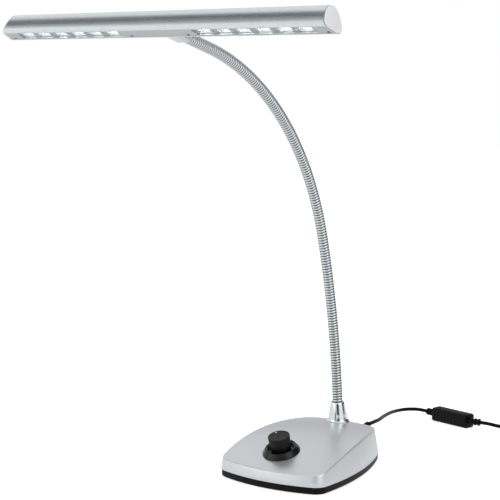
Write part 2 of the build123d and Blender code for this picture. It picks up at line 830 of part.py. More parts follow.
with BuildPart() as neck_bracket:
    extrude(arch(head_wall + slip_clearance, ledge_top), amount=bracket_half_length, both=True)
    with BuildSketch(head_plane.offset(ledge_top + bracket_height)):
        Rectangle(4 * bracket_half_length, 2 * head_width)
    extrude(amount=arch_height, mode=Mode.SUBTRACT)
    bracket_key = slot(ledge_gap - slip_clearance, ledge_foot, ledge_top)
    extrude(bracket_key, amount=bracket_half_length, both=True)
    with BuildSketch(head_plane.offset(ledge_foot)):
        with Locations((-inner_screw_x, cover_screw_y), (inner_screw_x, cover_screw_y)):
            Circle(cover_screw_shank + thread_clearance)
    extrude(amount=cover_screw_length, mode=Mode.SUBTRACT)
neck_bracket.part.label = "neck_bracket"
export_step(neck_bracket.part, "parts/neck_bracket.step")

# ------------------------------------------------------------------ head: reflectors, LEDs
reflector_top = ledge_foot + reflector_height


def tapered_pit(place, mouth, end, depth):
    """Four-sided pit that narrows from its mouth, as a solid to cut with."""
    with BuildPart() as pit:
        with BuildSketch(head_plane.offset(ledge_foot)):
            with Locations((place, 0)):
                Rectangle(*mouth)
        with BuildSketch(head_plane.offset(ledge_foot + depth)):
            with Locations((place, 0)):
                Rectangle(*end)
        loft(ruled=True)
    return pit.part


for side, name in ((-1, "left"), (1, "right")):
    led_places = [
        side * (window_inner_margin + (number + 0.5) * led_pitch) for number in range(led_count)
    ]
    divider_places = [place + side * led_pitch / 2 for place in led_places[:-1]]
    pits = [tapered_pit(place, cup_mouth, cup_top, reflector_height) for place in led_places]
    for place in divider_places:
        pits.append(tapered_pit(place, divider_pit, (pit_point, pit_point), divider_pit_depth))

    with BuildPart() as reflector:
        with BuildSketch(head_plane.offset(ledge_foot)):
            with Locations((side * led_middle, 0)):
                Rectangle(window_length, 2 * (ledge_gap - slip_clearance))
        extrude(amount=reflector_height)
        add(pits, mode=Mode.SUBTRACT)
    reflector.part.label = f"reflector_{name}"
    export_step(reflector.part, f"parts/reflector_{name}.step")

    with BuildPart() as led_board:
        with BuildSketch(head_plane.offset(reflector_top)):
            with Locations((side * led_middle, 0)):
                Rectangle(window_length, 2 * (ledge_gap - slip_clearance))
        extrude(amount=board_thickness)
    led_board.part.label = f"led_board_{name}"
    export_step(led_board.part, f"parts/led_board_{name}.step")

    with BuildPart() as led_row:
        with BuildSketch(head_plane.offset(reflector_top)):
            with Locations(*[(place, 0) for place in led_places]):
                Rectangle(led_size, led_size)
        extrude(amount=-led_height)
    led_row.part.label = f"led_row_{name}"
    export_step(led_row.part, f"parts/led_row_{name}.step")

# ------------------------------------------------------------------ head: neck socket
# The socket grips the end of the neck behind the head and reaches under its rear edge.
grip_plane = Plane(origin=neck_end, x_dir=(1, 0, 0), z_dir=tip_plane.z_dir)

with BuildPart() as neck_socket:
    with BuildSketch(grip_plane):
        with Locations((0, (socket_below - socket_above) / 2)):
            RectangleRounded(socket_width, socket_below + socket_above, socket_corner)
    extrude(amount=socket_reach)
    add(head_form.part, mode=Mode.SUBTRACT)
    with BuildSketch(head_section) as ramp_cut:
        with BuildLine():
            ramp_start, ramp_end = socket_ramp
            Polyline(
                (ramp_start[0] - socket_reach, ramp_start[1]),
                ramp_start,
                ramp_end,
                (ramp_end[0], ramp_end[1] - socket_reach),
                (ramp_start[0] - socket_reach, ramp_end[1] - socket_reach),
                close=True,
            )
        make_face()
    extrude(amount=socket_width, both=True, mode=Mode.SUBTRACT)
    with BuildSketch(grip_plane):
        Circle(neck_radius + slip_clearance)
    extrude(amount=socket_grip + slip_clearance, mode=Mode.SUBTRACT)
    grip_middle = grip_plane.from_local_coords((0, 0, socket_grip / 2))
    side_plane = Plane(origin=grip_middle, x_dir=grip_plane.z_dir, z_dir=(1, 0, 0))
    with BuildSketch(side_plane):
        Circle(set_screw_radius + thread_clearance)
    extrude(amount=socket_width, mode=Mode.SUBTRACT)
neck_socket.part.label = "neck_socket"
export_step(neck_socket.part, "parts/neck_socket.step")

with BuildPart() as socket_set_screw:
    with BuildSketch(side_plane.offset(neck_radius + seat_clearance)):
        Circle(set_screw_radius)
    extrude(amount=socket_width / 2 - set_screw_sink - neck_radius - seat_clearance)
socket_set_screw.part.label = "socket_set_screw"
export_step(socket_set_screw.part, "parts/socket_set_screw.step")

# ------------------------------------------------------------------ cord: strain relief
with BuildPart() as cord_strain_relief:
    with BuildSketch(section_of(relief_plane)):
        with BuildLine():
            Polyline(
                (0, -relief_flange_thickness),
                (relief_flange_radius, -relief_flange_thickness),
                (relief_flange_radius, 0),
                (relief_root_radius, 0),
                (relief_root_radius, relief_straight),
                (relief_tip_radius, relief_length),
                (0, relief_length),
                close=True,
            )
        make_face()
    revolve(axis=axis_of(relief_plane))
cord_strain_relief.part.label = "cord_strain_relief"
export_step(cord_strain_relief.part, "parts/cord_strain_relief.step")

# ------------------------------------------------------------------ cord: inline block
block_vector = Vector(block_end[0] - block_start[0], block_end[1] - block_start[1], 0)
block_length = block_vector.length
block_height = block_radius + 0.2
block_plane = Plane(origin=(*block_start, block_height), x_dir=(0, 0, 1), z_dir=block_vector)
far_plane = Plane(
    origin=(*block_end, block_height), x_dir=(0, 0, 1), z_dir=block_vector.rotate(Axis.Z, far_turn)
)
near_plane = Plane(origin=block_plane.origin, x_dir=(0, 0, 1), z_dir=-block_vector)
rib_pitch = rib_length / rib_count


def ribbed_relief(plane):
    """Bendable end of the block: a core with ribs."""
    with BuildSketch(section_of(plane)) as section:
        with BuildLine():
            points = [(0, -rib_width)]
            for number in range(rib_count):
                foot = number * rib_pitch
                points += [
                    (rib_core_radius, foot if number else -rib_width),
                    (rib_core_radius, foot + rib_pitch - rib_width),
                    (rib_radius, foot + rib_pitch - rib_width),
                    (rib_radius, foot + rib_pitch),
                ]
            Polyline(*points, (0, rib_length), close=True)
        make_face()
    return section.sketch


with BuildPart() as inline_block:
    with BuildSketch(block_plane):
        Circle(block_radius)
    extrude(amount=block_length)
    fillet(inline_block.edges().filter_by(GeomType.CIRCLE), block_corner)
    for end in (near_plane, far_plane):
        revolve(ribbed_relief(end), axis=axis_of(end))
inline_block.part.label = "inline_block"
export_step(inline_block.part, "parts/inline_block.step")

# ------------------------------------------------------------------ cord: tubes and coil
relief_tip = relief_plane.from_local_coords((0, 0, relief_length))
near_end = near_plane.from_local_coords((0, 0, rib_length))
far_start = far_plane.from_local_coords((0, 0, rib_length))
coil_outer_radius = coil_mean_radius + coil_across * cord_radius
coil_inner_radius = coil_mean_radius - coil_across * cord_radius
coil_height = coil_layers * 2 * cord_radius

near_route = [
    relief_tip,
    relief_plane.from_local_coords((0, 0, relief_length + relief_run)),
    (-1, 152, 21.7),
    (-10.5, 176, 18.4),
    (-17.5, 198, 15.9),
    (-24, 219, 13.1),
    (-28, 237, 10.6),
    (-28.5, 252.5, 9),
    (-25, 263.5, 8.3),
    (-16, 269.5, 8.2),
    near_plane.from_local_coords((0, 0, rib_length + near_run)),
    near_end,
]
far_route = [
    far_start,
    far_plane.from_local_coords((0, 0, rib_length + far_run)),
    (93, 258, 6),
    (100, 264.5, 4.2),
    (106, 272, 2.6),
    (113.5, 279.5, 2.2),
    (123, 285.6, 2.2),
]
tail_route = [
    (165.5, 248, 2.2),
    (161, 237, 2.2),
    (158, 225, 2.3),
    (158, 213, 3.4),
    (161, 201.5, plug_radius + 0.2),
    (165.5, 191, plug_radius + 0.2),
]


def corner_radii(points):
    """Radius at each corner: 0.45 of the shorter run over the tangent of half the turn."""
    radii = []
    for before, corner, after in zip(points, points[1:], points[2:]):
        run_in = Vector(corner) - Vector(before)
        run_out = Vector(after) - Vector(corner)
        half_turn = radians(run_in.get_angle(run_out)) / 2
        radii.append(0.45 * min(run_in.length, run_out.length) / tan(half_turn))
    return radii


def cord_tube(points, name):
    """Straight runs joined by tangent arcs, with the cord's round section."""
    radii = corner_radii(points)
    print(name, "radii", [round(radius, 1) for radius in radii])
    with BuildPart() as tube:
        with BuildLine() as path:
            FilletPolyline(*points, radius=radii)
        route = path.wires()[0]
        with BuildSketch(Plane(origin=route @ 0, z_dir=route % 0)):
            Circle(cord_radius)
        sweep(path=route)
    expected = route.length * pi * cord_radius**2
    print(name, "length", round(route.length, 1), "volume share", round(tube.part.volume / expected, 4))
    tube.part.label = name
    export_step(tube.part, f"parts/{name}.step")


cord_tube(near_route, "cord_lead_near")
cord_tube(far_route, "cord_lead_far")
cord_tube(tail_route, "cord_tail")

coil_wide = coil_outer_radius - coil_inner_radius
tie_plane = Plane(origin=(*coil_centre, coil_height / 2), x_dir=(1, 0, 0), z_dir=(0, -1, 0))


def tie_section(inset):
    """Rectangle around the strands where the tie sits, moved inward by an inset."""
    with BuildSketch(tie_plane) as section:
        with Locations((coil_mean_radius, 0)):
            Rectangle(coil_wide - 2 * inset, coil_height - 2 * inset)
    return section.sketch


with BuildPart() as coil_tie:
    extrude(tie_section(0), amount=tie_width / 2, both=True)
    extrude(tie_section(tie_thickness), amount=tie_width / 2, both=True, mode=Mode.SUBTRACT)
coil_tie.part.label = "coil_tie"
export_step(coil_tie.part, "parts/coil_tie.step")

with BuildPart() as cord_coil:
    with BuildSketch(Plane.XY):
        with Locations(coil_centre):
            Circle(coil_outer_radius)
            Circle(coil_inner_radius, mode=Mode.SUBTRACT)
    extrude(amount=coil_height)
    with BuildSketch(tie_plane):
        with Locations((coil_mean_radius, 0)):
            Rectangle(coil_wide + tie_thickness, coil_height + tie_thickness)
            Rectangle(coil_wide - 2 * tie_thickness, coil_height - 2 * tie_thickness, mode=Mode.SUBTRACT)
    extrude(amount=tie_width / 2, both=True, mode=Mode.SUBTRACT)
cord_coil.part.label = "cord_coil"
export_step(cord_coil.part, "parts/cord_coil.step")

plug_vector = Vector(tail_route[-1]) - Vector(tail_route[-2])
plug_plane = Plane(origin=tail_route[-1], x_dir=(0, 0, 1), z_dir=plug_vector)
with BuildPart() as barrel_plug:
    with BuildSketch(section_of(plug_plane)):
        with BuildLine():
            Polyline(
                (0, 0),
                (plug_foot_radius, 0),
                (plug_radius, plug_taper),
                (plug_radius, plug_length - plug_nose),
                (plug_face_radius, plug_length),
                (barrel_radius, plug_length),
                (barrel_radius, plug_length + barrel_length),
                (barrel_bore, plug_length + barrel_length),
                (barrel_bore, plug_length),
                (0, plug_length),
                close=True,
            )
        make_face()
    revolve(axis=axis_of(plug_plane))
barrel_plug.part.label = "barrel_plug"
export_step(barrel_plug.part, "parts/barrel_plug.step")
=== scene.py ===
"""Piano lamp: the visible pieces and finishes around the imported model.

It is laid out as an add-on and run as a script. Points are in millimetres unless a comment
says metres, and every mesh is made in metres.
"""

import json
import math

import bmesh
import bpy
from bpy.props import FloatProperty, FloatVectorProperty, IntProperty, PointerProperty
from bpy.types import Operator, Panel, PropertyGroup
from mathutils import Matrix, Vector

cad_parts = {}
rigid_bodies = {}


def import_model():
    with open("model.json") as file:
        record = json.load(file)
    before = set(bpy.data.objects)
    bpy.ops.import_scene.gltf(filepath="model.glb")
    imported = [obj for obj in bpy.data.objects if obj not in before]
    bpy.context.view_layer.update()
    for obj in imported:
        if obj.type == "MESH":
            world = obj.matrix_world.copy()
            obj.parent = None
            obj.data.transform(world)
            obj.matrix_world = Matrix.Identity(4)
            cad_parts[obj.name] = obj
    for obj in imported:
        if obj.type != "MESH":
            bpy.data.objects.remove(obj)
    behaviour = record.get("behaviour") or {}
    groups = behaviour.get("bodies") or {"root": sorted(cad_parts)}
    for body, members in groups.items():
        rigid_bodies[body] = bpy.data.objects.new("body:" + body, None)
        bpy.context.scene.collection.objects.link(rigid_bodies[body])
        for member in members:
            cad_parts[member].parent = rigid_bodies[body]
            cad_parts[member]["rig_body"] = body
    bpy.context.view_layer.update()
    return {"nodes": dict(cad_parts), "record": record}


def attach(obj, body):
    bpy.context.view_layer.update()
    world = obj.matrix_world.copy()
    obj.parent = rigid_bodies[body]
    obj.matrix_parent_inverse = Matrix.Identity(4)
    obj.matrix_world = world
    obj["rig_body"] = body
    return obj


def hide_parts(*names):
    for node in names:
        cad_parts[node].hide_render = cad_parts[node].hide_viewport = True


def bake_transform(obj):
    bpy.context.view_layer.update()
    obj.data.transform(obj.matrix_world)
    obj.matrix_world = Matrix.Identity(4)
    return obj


bl_info = {
    "name": "Piano Lamp",
    "version": (1, 0, 0),
    "blender": (4, 5, 0),
    "location": "3D View > Sidebar > Piano Lamp",
    "description": "Builds the visible pieces and finishes of a gooseneck piano lamp",
    "category": "Object",
}

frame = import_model()

MM = 0.001
TURN = 2 * math.pi


def paint(code):
    """Linear colour of an sRGB hex value."""
    shares = [int(code[place : place + 2], 16) / 255 for place in (1, 3, 5)]
    return tuple(s / 12.92 if s <= 0.04045 else ((s + 0.055) / 1.055) ** 2.4 for s in shares)


# ------------------------------------------------------------------ what a user would change
def colour_setting(name, code, description):
    """A colour in the panel, from an sRGB hex value."""
    return FloatVectorProperty(
        name=name, description=description, subtype="COLOR", size=3, min=0, max=1,
        default=paint(code),
    )


def length_setting(name, size, description):
    """A length in the panel, in metres."""
    return FloatProperty(
        name=name, description=description, subtype="DISTANCE", unit="LENGTH", min=0, default=size
    )


class PianoLampColours(PropertyGroup):
    """Colours of the finishes."""

    silver: colour_setting("Silver paint", "#C9CDD0", "Paint of the base and the neck socket")
    aluminium: colour_setting("Aluminium", "#CFD6D9", "Anodised housing of the head")
    cap: colour_setting("End caps", "#F5F6F6", "Painted end caps of the head")
    cover: colour_setting("Light cover", "#C3C8CA", "Cover strip around the lights")
    nickel: colour_setting("Nickel", "#C6CBCE", "Plating of the gooseneck")
    chrome: colour_setting("Chrome", "#D0D4D6", "Plating of the neck's foot")
    black: colour_setting("Black plastic", "#060707", "Tray, bezel, knob and inline block")
    cord: colour_setting("Cord", "#050505", "Sheath of the cord")
    white: colour_setting("Reflectors", "#C2C5C6", "White plastic of the reflectors")
    phosphor: colour_setting("Phosphor", "#FAF3D6", "Face of the LEDs")


class PianoLampSizes(PropertyGroup):
    """Sizes that belong to the visible pieces alone."""

    winding_pitch: length_setting("Winding pitch", 2.9 * MM, "Length of one turn of the wire")
    winding_gap: length_setting("Winding gap depth", 0.95 * MM, "Depth of the gap between turns")
    hose_sides: IntProperty(
        name="Hose sides", description="Facets around the gooseneck", default=32, min=12, max=64
    )
    paint_edge: length_setting("Cover edge radius", 0.8 * MM, "Rounding between top and walls")
    knob_edge: length_setting("Knob edge radius", 0.5 * MM, "Rounding of the knob's rim")
    cord_diameter: length_setting("Cord diameter", 4.2 * MM, "Outside diameter of the cord")
    strap_thickness: length_setting("Strap thickness", 0.9 * MM, "Thickness of the coil's strap")


# ------------------------------------------------------------------ sizes shared with the source
# Leans, drafts and tilts are in degrees. Steps count the straight pieces of an arc.
BASE_DEPTH = 165.0
BASE_HALF_WIDTH = 64.2
WIDEST_Y = -32.0
FRONT_RADIUS, SIDE_RADIUS, REAR_RADIUS = 167.0, 270.0, 600.0
FRONT_CORNER, REAR_CORNER = 14.0, 12.0
FRONT_DRAFT, REAR_DRAFT = 6.8, 18.0
SEAM_HEIGHT, FORM_HEIGHT = 7.8, 50.0
FRONT_STEPS, SIDE_STEPS, REAR_STEPS, CORNER_STEPS = 14, 22, 8, 10
TRAY_INSET, TRAY_FOOT, TRAY_EDGE = 0.5, 0.4, 2.4
DOME_RADIUS, DOME_PEAK_Y, DOME_PEAK_Z, CROWN_RADIUS = 275.0, 28.0, 41.1, 455.0
KNOB_SEAT, KNOB_LEAN = (0, -48.1, 30.36), 16.065
NECK_SEAT, NECK_LEAN = (0, 61.2, 39.09), 4.2
NECK_MID_LEAN, NECK_END_LEAN = 16.2, 81.8
GENTLE_LENGTH, TIGHT_LENGTH = 182.0, 317.5
NECK_LENGTH = GENTLE_LENGTH + TIGHT_LENGTH
NECK_RADIUS, FERRULE_HEIGHT = 5.5, 21.8
FIRST_JOINT, JOINT_COUNT = 14.0, 12
JOINT_SPACING = (NECK_LENGTH - 2 * FIRST_JOINT) / (JOINT_COUNT - 1)
HOSE_LEAN = 75.0  # where the hose runs straight into its socket
SOCKET_START, SOCKET_END = 505.0, 537.0  # along the neck
HEAD_TILT, HEAD_HALF = 23.45, 178.0
HEAD_HALF_WIDTH, FLAT_HALF, LIP_HEIGHT, ARCH_HEIGHT = 10.15, 7.6, 2.1, 18.8
# How far the head's ends slant along it, per millimetre across and up.
END_ACROSS, END_UP = 0.205, 0.243
CAP_THICKNESS = 2.0
LED_FIRST, LED_PITCH, LED_COUNT = 49.9, 20.2, 6
LEDGE_FOOT, REFLECTOR_TOP = 1.8, 11.2
SCREW_POINTS = ((-31.0, 4.6), (-170.5, 4.6), (31.0, 4.6), (170.5, 4.6))

# Corners of the cord's route, in metres: from the base to the inline block, from the block to
# the coil, and from the coil to the plug.
NEAR_ROUTE = [
    (0.004, 0.118, 0.024), (0.004, 0.130, 0.024), (-0.001, 0.152, 0.0217), (-0.0105, 0.176, 0.0184),
    (-0.0175, 0.198, 0.0159), (-0.024, 0.219, 0.0131), (-0.028, 0.237, 0.0106),
    (-0.0285, 0.2525, 0.009), (-0.025, 0.2635, 0.0083), (-0.016, 0.2695, 0.0082),
    (-0.00609, 0.26884, 0.0082), (-0.00025, 0.26744, 0.0082),
]
FAR_ROUTE = [
    (0.07415, 0.2537, 0.0082), (0.08312, 0.25449, 0.0082), (0.093, 0.258, 0.006),
    (0.1, 0.2645, 0.0042), (0.106, 0.272, 0.0026), (0.1135, 0.2795, 0.0022),
    (0.123, 0.2856, 0.0022),
]
TAIL_ROUTE = [
    (0.1655, 0.248, 0.0022), (0.161, 0.237, 0.0022), (0.158, 0.225, 0.0023),
    (0.158, 0.213, 0.0034), (0.161, 0.2015, 0.00495), (0.1655, 0.191, 0.00495),
]
COIL_CENTRE = Vector((140.0, 262.0))
COIL_RADIUS = 22.1
STRAND = 4.2
TABLE_GAP = 0.1
# Column and layer of each turn in the coil, in the order of winding; the last lies outside.
COIL_PLACES = (
    (2, 0), (1, 0), (0, 0), (0, 1), (0, 2), (0, 3), (1, 3),
    (2, 3), (2, 2), (1, 2), (1, 1), (2, 1), (3, 1),
)
BLOCK_START, BLOCK_END = Vector((12.0, 264.5, 8.2)), Vector((61.6, 252.6, 8.2))
BLOCK_RADIUS = 8.0
FAR_AXIS = Vector((0.99618, 0.08731, 0.0))
RELIEF_SEAT = (4.0, 72.7, 24.0)


def dome_height(x, y):
    """Height of the base's top, which is domed along the depth and across the width."""
    middle = DOME_PEAK_Z - DOME_RADIUS + math.sqrt(DOME_RADIUS**2 - (y - DOME_PEAK_Y) ** 2)
    crown_axis = DOME_PEAK_Z - CROWN_RADIUS
    return crown_axis + math.sqrt((middle - crown_axis) ** 2 - x**2)


def arc_step(start_lean, end_lean, length, along):
    """Way forward, rise and lean in radians at a length along an arc."""
    bend = math.radians(end_lean - start_lean) / length
    start = math.radians(start_lean)
    lean = start + bend * along
    forward = math.cos(lean) - math.cos(start)
    rise = math.sin(lean) - math.sin(start)
    return forward / bend, rise / bend, lean


def neck_place(along, last_lean=NECK_END_LEAN):
    """Point and lean in radians of the neck's middle line, from the top of the ferrule."""
    foot = math.radians(NECK_LEAN)
    up = Vector((0, -math.sin(foot), math.cos(foot)))
    start = Vector(NECK_SEAT) + FERRULE_HEIGHT * up
    if along < 0:
        return start + along * up, foot
    y, z, lean = arc_step(NECK_LEAN, NECK_MID_LEAN, GENTLE_LENGTH, min(along, GENTLE_LENGTH))
    bent = TIGHT_LENGTH * (last_lean - NECK_MID_LEAN) / (NECK_END_LEAN - NECK_MID_LEAN)
    if along > GENTLE_LENGTH:
        tight = min(along - GENTLE_LENGTH, bent)
        more_y, more_z, lean = arc_step(NECK_MID_LEAN, NECK_END_LEAN, TIGHT_LENGTH, tight)
        y, z = y + more_y, z + more_z
    beyond = max(along - GENTLE_LENGTH - bent, 0)
    return start + Vector((0, y - beyond * math.sin(lean), z + beyond * math.cos(lean))), lean


def leaning(origin, lean):
    """Places a piece made around Z on an axis that leans forward, in degrees, at a point."""
    return Matrix.Translation(Vector(origin) * MM) @ Matrix.Rotation(math.radians(lean), 4, "X")


def along_axis(origin, direction):
    """Places a piece made around Z on any axis, at a point."""
    turn = Vector(direction).to_track_quat("Z", "Y").to_matrix().to_4x4()
    return Matrix.Translation(Vector(origin) * MM) @ turn


HEAD_OFFSET = Vector((0, -43.5, 4.5))  # from the end of the neck
HEAD_PLACE = leaning(neck_place(NECK_LENGTH)[0] + HEAD_OFFSET, -HEAD_TILT)


# ------------------------------------------------------------------ materials
def add_node(tree, kind, inputs=None, **settings):
    """Adds a node with its settings, and sets or links its inputs by name or number."""
    node = tree.nodes.new(kind)
    for name, value in settings.items():
        setattr(node, name, value)
    for name, value in (inputs or {}).items():
        if isinstance(value, bpy.types.NodeSocket):
            tree.links.new(value, node.inputs[name])
        else:
            node.inputs[name].default_value = value
    return node


def spread_out(tree, value, low, high):
    """Maps the middle of a noise to a range."""
    limits = {0: value, "From Min": 0.3, "From Max": 0.7, "To Min": low, "To Max": high}
    return add_node(tree, "ShaderNodeMapRange", limits).outputs[0]


def textured(
    name, colour, metallic, roughness, spot, relief,
    tint=0.05, spread=0.05, stretch=(1, 1, 1), **sockets,
):
    """A finish with fine spots in its colour, roughness and relief.

    spot is the size of one spot in metres and stretch lengthens it along an axis.
    """
    material = bpy.data.materials.new(name)
    material.use_nodes = True
    tree = material.node_tree
    shader = tree.nodes["Principled BSDF"]
    place = add_node(tree, "ShaderNodeTexCoord").outputs["Object"]
    scale = [1 / (spot * share) for share in stretch]
    spacing = add_node(tree, "ShaderNodeMapping", {"Vector": place, "Scale": scale}).outputs[0]
    settings = {"Vector": spacing, "Scale": 1.0, "Detail": 3.0, "Roughness": 0.6}
    spots = add_node(tree, "ShaderNodeTexNoise", settings).outputs["Fac"]
    shade = spread_out(tree, spots, 1 - tint, 1 + tint)
    tinted = add_node(tree, "ShaderNodeHueSaturation", {"Value": shade, "Color": (*colour, 1)})
    bumps = {"Height": spots, "Strength": relief, "Distance": spot / 4}
    grain = add_node(tree, "ShaderNodeBump", bumps)
    rough = spread_out(tree, spots, roughness - spread, roughness + spread)
    tree.links.new(tinted.outputs[0], shader.inputs["Base Color"])
    tree.links.new(rough, shader.inputs["Roughness"])
    tree.links.new(grain.outputs[0], shader.inputs["Normal"])
    shader.inputs["Metallic"].default_value = metallic
    for socket, value in sockets.items():
        shader.inputs[socket.replace("_", " ")].default_value = value
    return material


def paint_groove_shade(material):
    """Paints shade into the metal by its depth in the winding: the deeper, the darker, as shade
    falls in the gaps between the turns.
    """
    tree = material.node_tree
    colour = tree.nodes["Principled BSDF"].inputs["Base Color"]
    tinted = colour.links[0].from_socket
    depth = add_node(tree, "ShaderNodeAttribute", attribute_name="groove_depth").outputs["Fac"]
    limits = {0: depth, "From Min": 0.05, "From Max": 0.7, "To Min": 1.0, "To Max": 0.12}
    shade = add_node(tree, "ShaderNodeMapRange", limits).outputs[0]
    dark = add_node(tree, "ShaderNodeHueSaturation", {"Value": shade, "Color": tinted}).outputs[0]
    tree.links.new(dark, colour)


def make_finishes():
    """One finish for each of the record's material slots."""
    look = bpy.context.scene.piano_lamp_colours
    made = {}
    # After its colour, each finish gets how metallic and how rough it is, the size of its
    # spots and the strength of its relief.
    # Sprayed silver paint: fine aluminium flakes under a satin lacquer, drawn as 0.5 mm
    # spots so that they show. It gives a soft metallic gradient with a slight sparkle.
    made["silver_paint"] = textured(
        "Satin silver paint", look.silver, 0.75, 0.34, 0.5 * MM, 0.05, tint=0.03,
        Coat_Weight=0.2, Coat_Roughness=0.2,
    )
    # Anodised and brushed aluminium extrusion: streaks run its whole length, drawn 0.5 mm
    # apart. They spread the highlights across the housing and keep them sharp along it.
    made["satin_aluminium"] = textured(
        "Anodised aluminium", look.aluminium, 1.0, 0.27, 0.5 * MM, 0.05,
        tint=0.02, spread=0.02, stretch=(60, 1, 1),
    )
    # Painted ABS end cap: smooth, and a little brighter than the housing.
    made["cap_grey"] = textured("Painted ABS", look.cap, 0.0, 0.35, 0.8 * MM, 0.03, tint=0.015)
    # Moulded polycarbonate strip with a low-gloss, eroded skin. A little pearl pigment in it
    # gives a weak metallic sheen.
    made["cover_grey"] = textured(
        "Moulded polycarbonate", look.cover, 0.1, 0.45, 0.4 * MM, 0.06, tint=0.03
    )
    # Nickel plate on steel wire: bright, with drawing marks along the wire.
    made["satin_nickel"] = textured(
        "Nickel plate", look.nickel, 1.0, 0.18, 0.6 * MM, 0.05, tint=0.04, stretch=(1, 1, 0.3)
    )
    # The gaps between the turns get painted shade, darker the deeper they lie.
    paint_groove_shade(made["satin_nickel"])
    # Polished chrome plate on a turned part: nearly a mirror, with faint turning marks.
    made["chrome"] = textured(
        "Polished chrome", look.chrome, 1.0, 0.09, 0.8 * MM, 0.02,
        tint=0.02, spread=0.03, stretch=(8, 8, 0.5),
    )
    # Moulded ABS with a fine eroded texture: dull black with a weak grey sheen.
    made["black_plastic"] = textured(
        "Eroded black ABS", look.black, 0.0, 0.42, 0.5 * MM, 0.2,
        tint=0.12, Specular_IOR_Level=0.12,
    )
    # The same plastic from a polished mould: narrower, brighter highlights.
    made["bezel_black"] = textured(
        "Polished black ABS", look.black, 0.0, 0.25, 1.2 * MM, 0.03,
        tint=0.05, Specular_IOR_Level=0.25,
    )
    # Soft-touch coated knob: its skin is speckled with slightly paler grains.
    made["knob_black"] = textured(
        "Soft-touch coating", [share * 1.5 for share in look.black], 0.0, 0.45, 0.55 * MM, 0.3,
        tint=0.35, Specular_IOR_Level=0.2,
    )
    # Pad-printed tick: pale grey ink, flat and slightly rough.
    made["marker_grey"] = textured("Printing ink", paint("#E3E4E2"), 0.0, 0.5, 0.4 * MM, 0.05)
    # Closed-cell foam rubber: dull, with open pores about 0.7 mm wide.
    made["pad_rubber"] = textured(
        "Foam rubber", paint("#1B1B1B"), 0.0, 0.9, 0.7 * MM, 0.5, tint=0.15
    )
    # As-cast iron: dark and grainy.
    made["ballast_iron"] = textured(
        "Cast iron", paint("#4A4A49"), 0.7, 0.65, 1.5 * MM, 0.4, tint=0.15
    )
    # Zinc plate: pale bluish metal with a fine crystalline mottle.
    made["zinc_steel"] = textured("Zinc plate", paint("#B9BBBC"), 1.0, 0.3, 0.8 * MM, 0.08)
    # Black-oxide steel of the small screws: dark with a weak metallic sheen.
    made["black_steel"] = textured("Black oxide steel", paint("#1F2021"), 0.8, 0.35, 0.5 * MM, 0.1)
    # Turned brass of the dimmer's shaft, with turning marks.
    made["shaft_brass"] = textured("Turned brass", paint("#C9A961"), 1.0, 0.3, 0.6 * MM, 0.06)
    # Solder mask over copper: green with a slight orange-peel.
    made["board_green"] = textured(
        "Solder mask", paint("#1E5C3A"), 0.0, 0.3, 1.5 * MM, 0.05, tint=0.1
    )
    # Glossy white ABS of the reflectors and the LED packages: clean, with soft reflections.
    # Its colour is a pale grey, and the lit gels bring the cups up to white.
    made["white_plastic"] = textured(
        "Glossy white ABS", look.white, 0.0, 0.2, 1.0 * MM, 0.03, tint=0.015
    )
    # Phosphor gel over an LED chip, lit: it shines a cool white on the walls of its cup.
    made["led_phosphor"] = textured(
        "Phosphor gel", look.phosphor, 0.0, 0.3, 0.5 * MM, 0.1,
        Emission_Strength=110.0, Emission_Color=(0.97, 0.98, 1, 1),
    )
    # Plasticised PVC sheath: satin black, slightly uneven from extrusion.
    made["cord_black"] = textured(
        "PVC sheath", look.cord, 0.0, 0.4, 1.5 * MM, 0.12, tint=0.15, Specular_IOR_Level=0.1
    )
    return made


def finish(slot):
    """The material of one of the record's slots."""
    if not FINISHES:
        FINISHES.update(make_finishes())
    return FINISHES[slot]


FINISHES = {}
SLOT_OF = {row["node"]: row["material_slot"] for row in frame["record"]["subparts"]}


# ------------------------------------------------------------------ shapes
def add_object(name, data):
    """Puts a mesh, a curve, a lamp or a camera in the scene."""
    made = bpy.data.objects.new(name, data)
    bpy.context.scene.collection.objects.link(made)
    return made


def chain(bm, points, closed=False):
    """Edges through points, as geometry for spin and extrude: the vertices, then the edges."""
    verts = [bm.verts.new(Vector(point) * MM) for point in points]
    pairs = list(zip(verts, verts[1:]))
    if closed:
        pairs.append((verts[-1], verts[0]))
    return verts + [bm.edges.new(pair) for pair in pairs]


def pull(bm, edges, way):
    """Extrudes a ring of edges by a vector and gives the new ring."""
    new = bmesh.ops.extrude_edge_only(bm, edges=edges)["geom"]
    verts = [item for item in new if isinstance(item, bmesh.types.BMVert)]
    added = [item for item in new if isinstance(item, bmesh.types.BMEdge)]
    bmesh.ops.translate(bm, verts=verts, vec=Vector(way) * MM)
    return [edge for edge in added if all(vert in verts for vert in edge.verts)]


def fill(bm, ring):
    """Closes a ring of edges with one face."""
    bmesh.ops.contextual_create(bm, geom=ring)


def join(bm, other, place=None):
    """Adds the shape of another bmesh, which is used up."""
    if place is not None:
        bmesh.ops.transform(other, matrix=place, verts=other.verts)
    mesh = bpy.data.meshes.new("joined")
    other.to_mesh(mesh)
    other.free()
    bm.from_mesh(mesh)
    bpy.data.meshes.remove(mesh)


def cut_off(bm, point, normal, above=True):
    """Cuts at a plane and drops what lies above it along its normal, or else below it."""
    bmesh.ops.bisect_plane(
        bm, geom=bm.verts[:] + bm.edges[:] + bm.faces[:], dist=1e-7,
        plane_co=[value * MM for value in point], plane_no=normal,
        clear_outer=above, clear_inner=not above,
    )


def edges_along(bm, axis):
    """Edges that run more than 1 mm along an axis, which is 0, 1 or 2."""
    return [e for e in bm.edges if abs(e.verts[0].co[axis] - e.verts[1].co[axis]) > 1 * MM]


def edges_below(bm, height):
    """Edges that lie wholly below a height."""
    return [edge for edge in bm.edges if all(vert.co.z < height * MM for vert in edge.verts)]


